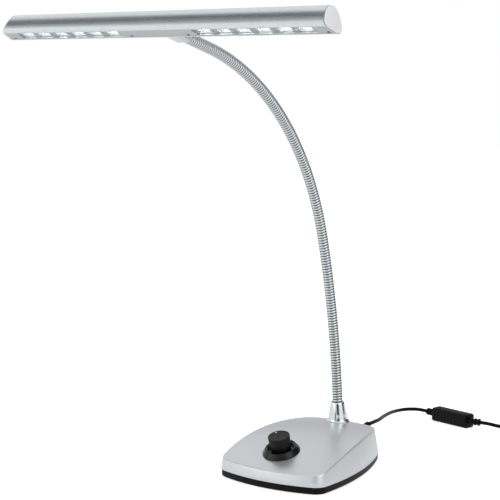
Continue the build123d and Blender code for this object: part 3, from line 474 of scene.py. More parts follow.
def round_edges(bm, edges, width, segments=3):
    """Rounds edges, with the width in metres."""
    bmesh.ops.bevel(
        bm, geom=edges, offset=width, segments=segments, profile=0.5, affect="EDGES", material=-1,
        clamp_overlap=True,
    )


def soften(bm, width, segments=3, angle=30):
    """Rounds every edge that is sharper than an angle."""
    limit = math.radians(angle)
    sharp = [edge for edge in bm.edges if edge.is_manifold and edge.calc_face_angle(0) > limit]
    if sharp:
        round_edges(bm, sharp, width, segments)


def add_box(bm, size, middle, turn=0.0):
    """A cube of a size about a point, turned about Z by degrees after it is placed."""
    place = Matrix.Rotation(math.radians(turn), 4, "Z") @ Matrix.Translation(Vector(middle) * MM)
    matrix = place @ Matrix.Diagonal((*(Vector(size) * MM), 1))
    return bmesh.ops.create_cube(bm, size=1.0, matrix=matrix)["verts"]


def soft_box(size, middle, edge, turn=0.0):
    """A box with rounded edges, as a shape of its own."""
    bm = bmesh.new()
    add_box(bm, size, middle, turn)
    soften(bm, edge * MM)
    return bm


def spun(points, steps, rise=0.0):
    """Radius and height points, spun once around Z and raised at each step."""
    bm = bmesh.new()
    bmesh.ops.spin(
        bm, geom=chain(bm, [(radius, 0, height) for radius, height in points]),
        cent=(0, 0, 0), axis=(0, 0, 1), dvec=(0, 0, rise * MM), angle=TURN, steps=steps,
        use_merge=rise == 0,
    )
    return bm


def turned(points, steps):
    """A turned solid from radius and height points."""
    bm = spun(points, steps)
    bmesh.ops.remove_doubles(bm, verts=bm.verts, dist=1e-7)
    return bm


def groove(radius, depth, start, slope, width):
    """Four points of a groove in a turned profile. A negative depth makes it a rib."""
    floor, end = radius - depth, start + width
    return [(radius, start), (floor, start + slope), (floor, end - slope), (radius, end)]


def rounded(points, radius, steps=4):
    """Rounds the inner corners of a profile of radius and height points."""
    profile = [points[0]]
    for before, corner, after in zip(points, points[1:], points[2:]):
        here = Vector(corner)
        back, on = Vector(before) - here, Vector(after) - here
        reach = min(radius, back.length * 0.45, on.length * 0.45)
        start, end = here + back.normalized() * reach, here + on.normalized() * reach
        for step in range(steps + 1):
            share = step / steps
            bend = (1 - share) ** 2 * start + 2 * share * (1 - share) * here + share**2 * end
            profile.append(tuple(bend))
    return profile + [points[-1]]


def piece(name, bm, slot, body, place=None, nodes=(), smooth=35):
    """Turns a bmesh into a piece that rides on a body and stands for CAD nodes."""
    if place is not None:
        bmesh.ops.transform(bm, matrix=place, verts=bm.verts)
    bmesh.ops.recalc_face_normals(bm, faces=bm.faces)
    mesh = bpy.data.meshes.new(name)
    bm.to_mesh(mesh)
    bm.free()
    mesh.set_sharp_from_angle(angle=math.radians(smooth))
    mesh.materials.append(finish(slot))
    made = add_object(name, mesh)
    if body:
        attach(made, body)
    if nodes:
        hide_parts(*nodes)
    return made


def refine(node, name, width, segments=2):
    """A merged copy of a CAD node with rounded edges, in its own finish."""
    bm = bmesh.new()
    bm.from_mesh(frame["nodes"][node].data)
    bmesh.ops.remove_doubles(bm, verts=bm.verts, dist=1e-6)
    bmesh.ops.dissolve_limit(bm, angle_limit=math.radians(1), verts=bm.verts, edges=bm.edges)
    soften(bm, width, segments)
    return piece(name, bm, SLOT_OF[node], frame["nodes"][node]["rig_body"], nodes=[node])


# ------------------------------------------------------------------ base
def circles_meet(first, first_radius, second, second_radius):
    """Where two circles cross: two points."""
    across = second - first
    gap = across.length
    along = (gap**2 + first_radius**2 - second_radius**2) / (2 * gap)
    middle = first + across * (along / gap)
    aside = Vector((-across.y, across.x)) / gap * math.sqrt(first_radius**2 - along**2)
    return middle + aside, middle - aside


def arc_points(centre, radius, start, end, steps):
    """Points of an arc between two of its points, the end left out."""
    first, last = start - centre, end - centre
    begin = math.atan2(first.y, first.x)
    sweep = (math.atan2(last.y, last.x) - begin + math.pi) % TURN - math.pi
    angles = [begin + sweep * step / steps for step in range(steps)]
    return [(centre.x + radius * math.cos(a), centre.y + radius * math.sin(a)) for a in angles]


def base_outline(inset, rear_inset):
    """The base's outline, anticlockwise from the middle of the front."""
    front = Vector((0, FRONT_RADIUS - BASE_DEPTH / 2))
    side = Vector((BASE_HALF_WIDTH - SIDE_RADIUS, WIDEST_Y))
    rear = Vector((0, BASE_DEPTH / 2 - REAR_RADIUS))
    front_radius, side_radius = FRONT_RADIUS - inset, SIDE_RADIUS - inset
    rear_radius = REAR_RADIUS - rear_inset
    low = max(
        circles_meet(front, front_radius - FRONT_CORNER, side, side_radius - FRONT_CORNER),
        key=lambda point: (point.x > 0, -point.y),
    )
    high = max(
        circles_meet(rear, rear_radius - REAR_CORNER, side, side_radius - REAR_CORNER),
        key=lambda point: (point.x > 0, point.y),
    )

    def touch(centre, corner, radius):
        return corner + (corner - centre).normalized() * radius

    a, b = touch(front, low, FRONT_CORNER), touch(side, low, FRONT_CORNER)
    c, d = touch(side, high, REAR_CORNER), touch(rear, high, REAR_CORNER)
    first, last = Vector((0, front.y - front_radius)), Vector((0, rear.y + rear_radius))
    right = arc_points(front, front_radius, first, a, FRONT_STEPS)
    right += arc_points(low, FRONT_CORNER, a, b, CORNER_STEPS)
    right += arc_points(side, side_radius, b, c, SIDE_STEPS)
    right += arc_points(high, REAR_CORNER, c, d, CORNER_STEPS)
    right += arc_points(rear, rear_radius, d, last, REAR_STEPS)
    return right + [tuple(last)] + [(-x, y) for x, y in reversed(right[1:])]


def ringed(rings):
    """A closed skin through rings of equal length."""
    bm = bmesh.new()
    order = bm.verts.layers.int.new("order")
    count = len(rings[0])
    geometry = chain(bm, rings[0], closed=True)
    for number, vert in enumerate(geometry[:count]):
        vert[order] = number
    ring = geometry[count:]
    fill(bm, ring)
    for points in rings[1:]:
        ring = pull(bm, ring, (0, 0, 0))
        for vert in {vert for edge in ring for vert in edge.verts}:
            vert.co = Vector(points[vert[order]]) * MM
    fill(bm, ring)
    return bm


# ------------------------------------------------------------------ head
def head_outline(inset=0.0, steps=48):
    """Arch of the head's section, across and up, from the rear lip to the front one."""
    half, top = HEAD_HALF_WIDTH - inset, ARCH_HEIGHT - inset
    angles = [math.pi * step / steps for step in range(steps + 1)]
    return [(half * math.cos(a), LIP_HEIGHT + top * math.sin(a)) for a in angles]


# ------------------------------------------------------------------ cord
def sheath(name, points, nodes, **facts):
    """A cord on a smooth spline through its route. The facts given to it are not used."""
    diameter = bpy.context.scene.piano_lamp_sizes.cord_diameter
    curve = bpy.data.curves.new(name, "CURVE")
    curve.dimensions = "3D"
    line = curve.splines.new("NURBS")
    line.points.add(len(points) - 1)
    for control, point in zip(line.points, points):
        control.co = (*point, 1)
    line.order_u = 3
    line.use_endpoint_u = True
    line.resolution_u = 8
    curve.bevel_depth = diameter / 2
    curve.bevel_resolution = 4
    curve.use_fill_caps = True
    curve.materials.append(finish("cord_black"))
    made = add_object(name, curve)
    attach(made, "base")
    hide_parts(*nodes)


def eased(share):
    """Runs from 0 to 1 with level ends."""
    share = min(max(share, 0.0), 1.0)
    return share * share * (3 - 2 * share)


def coil_route():
    """Turns beside and on each other, in metres, and a last part turn that leads to the plug.

    A turn moves to the next place in its last third, and the last part turn sinks by a layer.
    The strands rise a little where they lie on the strap.
    """
    per_turn, move_start, sink_start, sink_share = 16, 0.68, 0.02, 0.26
    strap_reach = math.radians(50)
    strap_lift = 1.2 * bpy.context.scene.piano_lamp_sizes.strap_thickness / MM
    # The spline runs inside its points, so they lie further out.
    cut_in = math.cos(math.pi / per_turn) ** 0.5
    entry = Vector(FAR_ROUTE[-1][:2]) / MM - COIL_CENTRE
    away = Vector(TAIL_ROUTE[0][:2]) / MM - COIL_CENTRE
    start = math.atan2(entry.y, entry.x)
    last_part = (start - math.atan2(away.y, away.x)) % TURN / TURN
    last_turn = len(COIL_PLACES) - 1
    route = []
    for step in range(int((last_turn + last_part) * per_turn) + 1):
        turn, share = step // per_turn, step % per_turn / per_turn
        column, layer = COIL_PLACES[turn]
        if turn < last_turn:
            moved = eased((share - move_start) / (1 - move_start))
            next_column, next_layer = COIL_PLACES[turn + 1]
            column += (next_column - column) * moved
            layer += (next_layer - layer) * moved
        else:
            layer -= eased((share - sink_start) / sink_share)
        angle = start - TURN * share
        from_strap = abs((angle + math.pi) % TURN - math.pi) / strap_reach
        radius = (COIL_RADIUS + (column - 1) * STRAND) / cut_in
        spot = COIL_CENTRE + radius * Vector((math.cos(angle), math.sin(angle)))
        height = (0.5 + layer) * STRAND + TABLE_GAP + strap_lift * (1 - eased(from_strap))
        route.append((spot.x * MM, spot.y * MM, height * MM))
    return route


# ------------------------------------------------------------------ stage
# Camera: place in metres, turn and drop in radians, focal length in millimetres.
CAMERA_PLACE = (0.76108, -1.19207, 0.40713)
CAMERA_TURN, CAMERA_DROP, CAMERA_LENS = 0.61, 0.12512, 100.9
# Lamps: place, target and size in metres, and power in watts.
LAMPS = {
    "Key": ((-0.9, -1.3, 1.5), (0, 0, 0.15), (1.2, 1.2), 1),
    "Fill": ((1.6, -0.4, 0.9), (0, 0, 0.2), (1.0, 1.4), 6),
}
WHITE = (1, 1, 1, 1)
# Half width of the floor in metres, its glow as metal and glass see it, and how much more of
# it the camera sees.
FLOOR_HALF, FLOOR_GLOW, CAMERA_GLOW = 6.0, 0.4, 0.25
ROOM_LEVEL = 0.78  # for matt surfaces, while metal and glass see 1
# Soft panels and dark flags of the studio as the metal sees them: heading and height in
# degrees, the half widths of the core and of the fade, and the change of brightness.
ROOM_PATCHES = (
    (-58, 6, 4, 26, -0.95),
    (-155, 48, 8, 23, -0.98),
    (-138, 26, 4, 20, 0.75),
    (-124, 4, 12, 32, 1.0),
    (-15, 8, 5, 25, 0.2),
    (50, 8, 18, 46, -0.9),
    (121, 6, 8, 28, -0.4),
)


def make_floor():
    """White seamless paper: matt, and shown white so that only the shadow is seen on it."""
    bm = bmesh.new()
    bmesh.ops.create_grid(bm, x_segments=2, y_segments=2, size=FLOOR_HALF)
    mesh = bpy.data.meshes.new("Floor")
    bm.to_mesh(mesh)
    bm.free()
    floor = add_object("Floor", mesh)
    material = bpy.data.materials.new("Seamless paper")
    material.use_nodes = True
    tree = material.node_tree
    paper = tree.nodes["Principled BSDF"]
    paper.inputs["Base Color"].default_value = (*paint("#EFEFEF"), 1)
    paper.inputs["Roughness"].default_value = 0.9
    ray = add_node(tree, "ShaderNodeLightPath").outputs
    rays = {0: ray["Is Camera Ray"], 1: ray["Is Glossy Ray"]}
    seen = add_node(tree, "ShaderNodeMath", rays, operation="MAXIMUM").outputs[0]
    rays = {0: seen, 1: ray["Is Transmission Ray"]}
    seen = add_node(tree, "ShaderNodeMath", rays, operation="MAXIMUM").outputs[0]
    glow = {0: ray["Is Camera Ray"], 1: CAMERA_GLOW, 2: FLOOR_GLOW}
    strength = add_node(tree, "ShaderNodeMath", glow, operation="MULTIPLY_ADD").outputs[0]
    glow = {"Color": WHITE, "Strength": strength}
    glow = add_node(tree, "ShaderNodeEmission", glow).outputs[0]
    lit = add_node(tree, "ShaderNodeAddShader", {0: paper.outputs[0], 1: glow}).outputs[0]
    mixed = add_node(tree, "ShaderNodeMixShader", {0: seen, 1: paper.outputs[0], 2: lit})
    tree.links.new(mixed.outputs[0], tree.nodes["Material Output"].inputs["Surface"])
    mesh.materials.append(material)


def make_room():
    """White to the camera, and a studio with soft panels and dark flags to the object."""
    world = bpy.data.worlds.new("Studio")
    bpy.context.scene.world = world
    world.use_nodes = True
    tree = world.node_tree
    tree.nodes.clear()
    view = add_node(tree, "ShaderNodeTexCoord").outputs["Generated"]
    ray = add_node(tree, "ShaderNodeLightPath").outputs
    rays = {0: ray["Is Glossy Ray"], 1: ray["Is Transmission Ray"]}
    mirrored = add_node(tree, "ShaderNodeMath", rays, operation="MAXIMUM").outputs[0]
    whole = {0: mirrored, 1: 1 - ROOM_LEVEL, 2: ROOM_LEVEL}
    level = add_node(tree, "ShaderNodeMath", whole, operation="MULTIPLY_ADD").outputs[0]
    for patch in ROOM_PATCHES:
        heading, height, core, fade = (math.radians(angle) for angle in patch[:4])
        flat = math.cos(height)
        toward = (flat * math.cos(heading), flat * math.sin(heading), math.sin(height))
        pair = {0: view, 1: toward}
        near = add_node(tree, "ShaderNodeVectorMath", pair, operation="DOT_PRODUCT")
        limits = {
            "Value": near.outputs["Value"],
            "From Min": math.cos(fade),
            "From Max": math.cos(core),
            "To Max": patch[4],
        }
        change = add_node(tree, "ShaderNodeMapRange", limits, interpolation_type="SMOOTHSTEP")
        total = {0: level, 1: change.outputs[0]}
        level = add_node(tree, "ShaderNodeMath", total, operation="ADD").outputs[0]
    lit, plain = (
        add_node(tree, "ShaderNodeBackground", {"Color": WHITE, "Strength": strength}).outputs[0]
        for strength in (level, 1.0)
    )
    mixed = add_node(tree, "ShaderNodeMixShader", {0: ray["Is Camera Ray"], 1: lit, 2: plain})
    add_node(tree, "ShaderNodeOutputWorld", {"Surface": mixed.outputs[0]})


def make_lamp(name, place, target, size, power):
    """A soft rectangular lamp that faces a target."""
    light = bpy.data.lights.new(name, "AREA")
    light.shape = "RECTANGLE"
    light.size, light.size_y = size
    light.energy = power
    made = add_object(name, light)
    made.location = place
    made.rotation_euler = (Vector(target) - Vector(place)).to_track_quat("-Z", "Y").to_euler()


def make_camera():
    """The camera that the lamp is first seen with."""
    data = bpy.data.cameras.new("Camera")
    data.lens = CAMERA_LENS
    data.sensor_width = 36.0
    data.clip_start, data.clip_end = 0.05, 50.0
    camera = add_object("Camera", data)
    camera.location = CAMERA_PLACE
    camera.rotation_euler = (math.pi / 2 - CAMERA_DROP, 0, CAMERA_TURN)
    bpy.context.scene.camera = camera


# ------------------------------------------------------------------ operators
class PIANO_LAMP_OT_stage(Operator):
    """Adds the camera, the floor, the room and the lamps"""

    bl_idname = "piano_lamp.stage"
    bl_label = "Stage"
    bl_options = {"REGISTER", "UNDO"}

    def execute(self, context):
        make_camera()
        make_floor()
        make_room()
        for name, facts in LAMPS.items():
            make_lamp(name, *facts)
        context.scene.view_settings.view_transform = "Standard"
        return {"FINISHED"}


class PIANO_LAMP_OT_near_cord(Operator):
    """Adds the ribbed relief, the first length of cord and the inline block"""

    bl_idname = "piano_lamp.near_cord"
    bl_label = "Cord to the Block"
    bl_options = {"REGISTER", "UNDO"}

    def execute(self, context):
        thick, thin, flange = 3.9, 2.6, 5.2
        relief = [(0, -1.5), (flange, -1.5), (flange, 0), (thick, 0), (thick, 7.0)]
        ribs, first, last = 7, 12.0, 43.0
        for number in range(ribs):
            foot = first + (last - first) * number / ribs
            relief += groove(max(thick - (foot - 6) / 14, thin), 0.45, foot, 0.3, 1.8)
        relief += [(3.3, 43.4), (3.3, 45.0), (2.3, 45.3), (0, 45.3)]
        place = along_axis(RELIEF_SEAT, (0, 1, 0))
        sleeve = turned(relief, 32)
        piece("relief_sleeve", sleeve, "cord_black", "base", place, ["cord_strain_relief"])

        axis = BLOCK_END - BLOCK_START
        length, grooves, groove_width = axis.length, 9, 1.8
        edge = [(BLOCK_RADIUS - 0.9, 0), (BLOCK_RADIUS - 0.25, 0.25), (BLOCK_RADIUS, 0.9)]
        profile = edge[:]
        for number in range(1, grooves + 1):
            start = length * number / (grooves + 1) - groove_width / 2
            profile += groove(BLOCK_RADIUS, 0.55, start, 0.5, groove_width)
        profile += [(half, length - height) for half, height in reversed(edge)]
        section = self.section()
        block = ringed([[(x * half, y * half, up) for x, y in section] for half, up in profile])
        bmesh.ops.transform(block, matrix=along_axis(BLOCK_START, axis), verts=block.verts)
        core, ribs, rib_pitch = 2.9, 3, 4.2
        ribbed = [(0, -2.0), (core, -2.0)]
        for number in range(ribs):
            ribbed += groove(core, -1.2, number * rib_pitch + 2.0, 0.1, 2.2)
        ribbed += [(0, ribs * rib_pitch)]
        for origin, way in ((BLOCK_START, -axis), (BLOCK_END, FAR_AXIS)):
            join(block, turned(ribbed, 32), along_axis(origin, way))
        made = piece("inline_block_shell", block, "black_plastic", "base", nodes=["inline_block"])
        sheath(
            "cord_near", NEAR_ROUTE, ["cord_lead_near"], length=0.178, far_end="fitting",
            lay="loose", with_pieces=[made],
        )
        return {"FINISHED"}

    def section(self):
        """Square with rounded corners and a half width of 1."""
        corner, steps = 0.42, 8
        flat = 1 - corner
        points = []
        for quarter in range(4):
            turn = Matrix.Rotation(quarter * math.pi / 2, 2)
            for step in range(steps + 1):
                angle = math.pi / 2 * step / steps
                spot = (flat + corner * math.cos(angle), flat + corner * math.sin(angle))
                points.append(turn @ Vector(spot))
        return points


class PIANO_LAMP_OT_far_cord(Operator):
    """Adds the rest of the cord, wound into a strapped coil, and its barrel plug"""

    bl_idname = "piano_lamp.far_cord"
    bl_label = "Coiled Cord and Plug"
    bl_options = {"REGISTER", "UNDO"}

    def execute(self, context):
        thin, thick, seam, bore, barrel_radius = 3.1, 4.75, 26.0, 1.05, 2.75
        profile = [(0, 0), (thin, 0)]
        for number in range(4):
            foot = 1.2 + 1.9 * number
            profile += groove(thin + (thick - thin) * foot / 9, 0.4, foot, 0.2, 1.1)
        profile += [(thick, 9.6), (thick, 24.0), (thick - 1, seam)]
        profile += [(barrel_radius, seam), (barrel_radius, seam + 0.2)]
        barrel = [
            (bore, seam), (barrel_radius, seam), (barrel_radius, 35.2), (2.5, 35.5), (1.2, 35.5),
            (bore, 35.3), (bore, seam),
        ]
        before, end = Vector(TAIL_ROUTE[-2]), Vector(TAIL_ROUTE[-1])
        place = along_axis(end / MM, end - before)
        body = piece("plug_body", turned(profile, 40), "black_plastic", "base", place)
        barrel = turned(barrel, 40)
        tip = piece("plug_barrel", barrel, "zinc_steel", "base", place, ["barrel_plug"])
        tie = self.make_strap(context.scene.piano_lamp_sizes.strap_thickness)
        sheath(
            "cord_far", FAR_ROUTE[:-1] + coil_route() + TAIL_ROUTE[1:],
            ["cord_lead_far", "cord_coil", "cord_tail"], length=1.86, far_end="plug",
            lay="coiled", with_pieces=[body, tip, tie],
        )
        return {"FINISHED"}

    def make_strap(self, thickness):
        """Hook-and-loop strap around all the strands, with its end lapped over the top."""
        width, top = 6.0, 4 * STRAND + 2.1
        inner, outer = COIL_RADIUS - 1.5 * STRAND - 0.9, COIL_RADIUS + 2.5 * STRAND + 2.1
        shoulder = COIL_RADIUS + 1.5 * STRAND - 0.8
        around = [(inner, TABLE_GAP), (outer, TABLE_GAP), (shoulder, top), (inner, top)]
        bm = bmesh.new()
        ring = chain(bm, [(across, -width / 2, up) for across, up in around], closed=True)
        pull(bm, ring[len(around) :], (0, width, 0))
        round_edges(bm, edges_along(bm, 1), 2.8 * MM, 6)
        bmesh.ops.recalc_face_normals(bm, faces=bm.faces)
        bmesh.ops.solidify(bm, geom=bm.faces[:], thickness=thickness)
        high = thickness / MM
        join(bm, soft_box((9.0, width, high), (inner + 7.0, 0, top + high / 2), 0.3))
        place = Matrix.Translation(COIL_CENTRE.to_3d() * MM)
        return piece("coil_tie_band", bm, "black_plastic", "base", place, ["coil_tie"])


class PIANO_LAMP_OT_base_cover(Operator):
    """Adds the base's cover: drafted walls and a domed top in one closed form"""

    bl_idname = "piano_lamp.base_cover"
    bl_label = "Base Cover"
    bl_options = {"REGISTER", "UNDO"}

    def execute(self, context):
        # Rings close to the crease keep its shading narrow.
        wall_shares = (0.5, 0.88)
        dome_shares = (0.97, 0.94, 0.88, 0.78, 0.66, 0.53, 0.4, 0.27, 0.14, 0.04)
        centre = Vector((0, 4.0))
        rise = FORM_HEIGHT - SEAM_HEIGHT
        foot = [Vector(point) for point in base_outline(0, 0)]
        leans = [rise * math.tan(math.radians(draft)) for draft in (FRONT_DRAFT, REAR_DRAFT)]
        top = [Vector(point) for point in base_outline(*leans)]
        brim = []
        for low, high in zip(foot, top):
            # The walls lean, so the height at which they meet the dome is closed in on.
            height = SEAM_HEIGHT
            for _ in range(12):
                spot = low.lerp(high, (height - SEAM_HEIGHT) / rise)
                height = dome_height(*spot)
            brim.append(Vector((*spot, height)))
        rings = [[Vector((*spot, SEAM_HEIGHT)) for spot in foot]]
        for share in wall_shares:
            rings.append([low.lerp(high, share) for low, high in zip(rings[0], brim)])
        rings.append(brim)
        for share in dome_shares:
            spots = [centre.lerp(point.xy, share) for point in brim]
            rings.append([(*spot, dome_height(*spot)) for spot in spots])
        bm = ringed(rings)
        order = bm.verts.layers.int["order"]

        def on_brim(vert):
            return (vert.co - brim[vert[order]] * MM).length < 1e-6

        crease = [edge for edge in bm.edges if all(on_brim(vert) for vert in edge.verts)]
        round_edges(bm, crease, context.scene.piano_lamp_sizes.paint_edge, 4)
        round_edges(bm, edges_below(bm, SEAM_HEIGHT + 0.001), 0.3 * MM, 2)
        piece("base_shell", bm, "silver_paint", "base", nodes=["base_cover"], smooth=40)
        return {"FINISHED"}


class PIANO_LAMP_OT_base_tray(Operator):
    """Adds the black tray under the cover, with a rounded lower edge"""

    bl_idname = "piano_lamp.base_tray"
    bl_label = "Base Tray"
    bl_options = {"REGISTER", "UNDO"}

    def execute(self, context):
        outline = base_outline(TRAY_INSET, TRAY_INSET)
        levels = (SEAM_HEIGHT, TRAY_FOOT)
        bm = ringed([[(x, y, height) for x, y in outline] for height in levels])
        round_edges(bm, edges_below(bm, TRAY_FOOT + 0.1), TRAY_EDGE * MM, 8)
        piece("base_tray_shell", bm, "black_plastic", "base", nodes=["base_tray"], smooth=40)
        return {"FINISHED"}


class PIANO_LAMP_OT_dimmer(Operator):
    """Adds the flared collar with its lug, and the round knob with its pointer"""

    bl_idname = "piano_lamp.dimmer"
    bl_label = "Dimmer Collar and Knob"
    bl_options = {"REGISTER", "UNDO"}

    def execute(self, context):
        place = leaning(KNOB_SEAT, KNOB_LEAN)
        collar = [
            (3.6, -0.9), (19.2, -0.9), (19.2, 0.45), (18.5, 1.25), (15.8, 5.3), (14.7, 5.4),
            (12.8, 3.6), (12.8, 1.2), (3.6, 1.2), (3.6, -0.9),
        ]
        collar = turned(rounded(collar, 0.7), 96)
        piece("bezel_collar", collar, "bezel_black", "base", place, ["knob_bezel"])
        lug = soft_box((1.1, 2.2, 2.2), (0, -11.6, 2.3), 0.25, turn=62)
        piece("bezel_lug", lug, "zinc_steel", "base", place)
        knob = [
            (0, 8.0), (8.0, 8.0), (8.0, 3.0), (10.6, 3.0), (11.1, 17.7), (9.6, 17.7),
            (9.3, 17.5), (0, 17.5),
        ]
        edge = context.scene.piano_lamp_sizes.knob_edge / MM
        knob = turned(rounded(knob, edge), 96)
        piece("knob_body", knob, "knob_black", "knob", place, ["dimmer_knob"])
        pointer = soft_box((1.1, 3.2, 0.6), (0, 8.8, 17.38), 0.12, turn=53)
        piece("knob_pointer", pointer, "marker_grey", "knob", place, ["knob_marker"])
        return {"FINISHED"}


class PIANO_LAMP_OT_ferrule(Operator):
    """Adds the polished cone that holds the foot of the neck"""

    bl_idname = "piano_lamp.ferrule"
    bl_label = "Neck Ferrule"
    bl_options = {"REGISTER", "UNDO"}

    def execute(self, context):
        bore = 5.6
        profile = [
            (bore, FERRULE_HEIGHT), (bore, -2.5), (12.3, -2.5), (12.4, 0.5), (11.9, 1.2),
            (10.7, 2.6), (9.6, 9.0), (7.4, 20.4), (6.7, FERRULE_HEIGHT), (bore, FERRULE_HEIGHT),
        ]
        place = leaning(NECK_SEAT, NECK_LEAN)
        cone = turned(rounded(profile, 1.2, 5), 96)
        piece("ferrule_cone", cone, "chrome", "base", place, ["neck_ferrule"], 50)
        return {"FINISHED"}


class PIANO_LAMP_OT_gooseneck(Operator):
    """Adds the wound hose of the neck in lengths that each bend across one joint"""

    bl_idname = "piano_lamp.gooseneck"
    bl_label = "Gooseneck"
    bl_options = {"REGISTER", "UNDO"}

    def execute(self, context):
        # The hose runs 5 mm into the ferrule and the socket, and is cut between the joints.
        foot, tip = -5.0, SOCKET_START + 5.0
        joints = [FIRST_JOINT + number * JOINT_SPACING for number in range(JOINT_COUNT)]
        middles = [joint + 0.5 * JOINT_SPACING for joint in joints[:-1]]
        cuts = [foot, *middles, tip]
        links = [f"neck_link_{number:02d}" for number in range(1, JOINT_COUNT)]
        pitch = context.scene.piano_lamp_sizes.winding_pitch / MM
        winding = self.wind(context, math.ceil((tip - middles[-1]) / pitch) + 3)
        for number, joint in enumerate(joints):
            bm = winding.copy()
            below = math.floor((cuts[number] - foot) / pitch) - 1
            bmesh.ops.translate(bm, verts=bm.verts, vec=(0, 0, (foot + below * pitch) * MM))
            cut_off(bm, (0, 0, cuts[number]), (0, 0, 1), above=False)
            cut_off(bm, (0, 0, cuts[number + 1]), (0, 0, 1))
            for vert in bm.verts:
                point, lean = neck_place(vert.co.z / MM, HOSE_LEAN)
                aside = Vector((0, math.cos(lean), math.sin(lean)))
                vert.co = point * MM + Vector((vert.co.x, 0, 0)) + aside * vert.co.y
            nodes = ["neck_root", *links][number : number + 1]
            if number == JOINT_COUNT - 1:
                nodes.append("neck_tip")
            name = f"hose_{number + 1:02d}"
            made = piece(name, bm, "satin_nickel", None, nodes=nodes, smooth=70)
            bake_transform(made)
        winding.free()
        return {"FINISHED"}

    def wind(self, context, turns):
        """A straight hose of a number of turns, each a helical band with a rounded crown.

        Each vertex keeps its depth in the winding, from 0 on the crown to 1 in the gap.
        """
        sizes = context.scene.piano_lamp_sizes
        pitch, gap, sides = sizes.winding_pitch / MM, sizes.winding_gap / MM, sizes.hose_sides
        # Share of the pitch and depth of the gap, up to the crown and down again.
        crown = ((0, 1), (0.06, 0.62), (0.16, 0.3), (0.3, 0.08), (0.5, 0))
        crown += tuple((1 - share, depth) for share, depth in reversed(crown[:-1]))
        band = [(NECK_RADIUS - depth * gap, share * pitch) for share, depth in crown]
        bm = spun(band, sides, pitch / sides)
        first_turn = bm.verts[:] + bm.edges[:] + bm.faces[:]
        for number in range(1, turns):
            copy = bmesh.ops.duplicate(bm, geom=first_turn)["geom"]
            verts = [item for item in copy if isinstance(item, bmesh.types.BMVert)]
            bmesh.ops.translate(bm, verts=verts, vec=(0, 0, number * pitch * MM))
        bmesh.ops.remove_doubles(bm, verts=bm.verts, dist=1e-6)
        depth = bm.verts.layers.float.new("groove_depth")
        for vert in bm.verts:
            vert[depth] = (NECK_RADIUS - vert.co.xy.length / MM) / gap
        return bm


class PIANO_LAMP_OT_head_housing(Operator):
    """Adds the extruded arch with short lips, a shadow groove and ledges for the light cover"""

    bl_idname = "piano_lamp.head_housing"
    bl_label = "Head Housing"
    bl_options = {"REGISTER", "UNDO"}

    def execute(self, context):
        wall, ledge_top, ledge_edge = 1.4, LEDGE_FOOT + 1.2, 5.6
        inner = [
            (across, max(up, ledge_top))
            for across, up in reversed(head_outline(wall, 40))
            if up > ledge_top - 0.3
        ]
        rear_lip = [
            (6.7, LEDGE_FOOT), (6.7, 0.1), (6.85, 0.0), (FLAT_HALF, 0.0), (9.9, 0.98),
            (9.9, 1.25), (9.75, 1.3), (9.75, 1.55), (10.0, 1.62), (10.15, 1.8),
        ]
        front_lip = [(-across, up) for across, up in reversed(rear_lip)]
        outline = rear_lip + head_outline() + front_lip
        outline += [(-ledge_edge, LEDGE_FOOT)] + inner + [(ledge_edge, LEDGE_FOOT)]
        bm = bmesh.new()
        reach = HEAD_HALF + HEAD_HALF_WIDTH
        ring = chain(bm, [(-reach, across, up) for across, up in outline], closed=True)
        pull(bm, ring[len(outline) :], (2 * reach, 0, 0))
        for side in (-1, 1):
            end = (side * (HEAD_HALF - CAP_THICKNESS), 0, 0)
            cut_off(bm, end, (side, -END_ACROSS, END_UP))
        for side in (-1, 1):
            fill(bm, [e for e in bm.edges if e.is_boundary and e.verts[0].co.x * side > 0])
        piece("head_housing", bm, "satin_aluminium", "head", HEAD_PLACE, ["head_profile"], 25)
        return {"FINISHED"}


class PIANO_LAMP_OT_end_caps(Operator):
    """Adds the slanted end caps, each with a shadow gap against the housing"""

    bl_idname = "piano_lamp.end_caps"
    bl_label = "End Caps"
    bl_options = {"REGISTER", "UNDO"}

    def execute(self, context):
        corner = [(5.9, 0.0), (7.2, 0.2), (8.3, 0.75), (9.2, 1.65), (9.8, 2.85)]
        arch = [point for point in head_outline(0.05) if point[1] > 3.6]
        outline = corner + arch + [(-across, up) for across, up in reversed(corner)]
        shadow = [(across * 0.88, 0.2 + (up - 0.2) * 0.94) for across, up in outline]
        for side, word in ((-1, "left"), (1, "right")):
            bm = bmesh.new()
            for section, low, high in ((outline, -1.3, 0.0), (shadow, -CAP_THICKNESS, -1.2)):
                points = [(low, across, up) for across, up in section]
                ring = chain(bm, points, closed=True)[len(points) :]
                fill(bm, ring)
                top = pull(bm, ring, (high - low, 0, 0))
                fill(bm, top)
                if section is outline:
                    round_edges(bm, top, 0.55 * MM, 4)
            if side < 0:
                bmesh.ops.scale(bm, verts=bm.verts, vec=(-1, 1, 1))
            shear = Matrix.Identity(4)
            shear[0][1], shear[0][2] = side * END_ACROSS, -side * END_UP
            bmesh.ops.transform(bm, matrix=shear, verts=bm.verts)
            bmesh.ops.translate(bm, verts=bm.verts, vec=(side * HEAD_HALF * MM, 0, 0))
            piece(f"cap_{word}", bm, "cap_grey", "head", HEAD_PLACE, [f"end_cap_{word}"], 30)
        return {"FINISHED"}


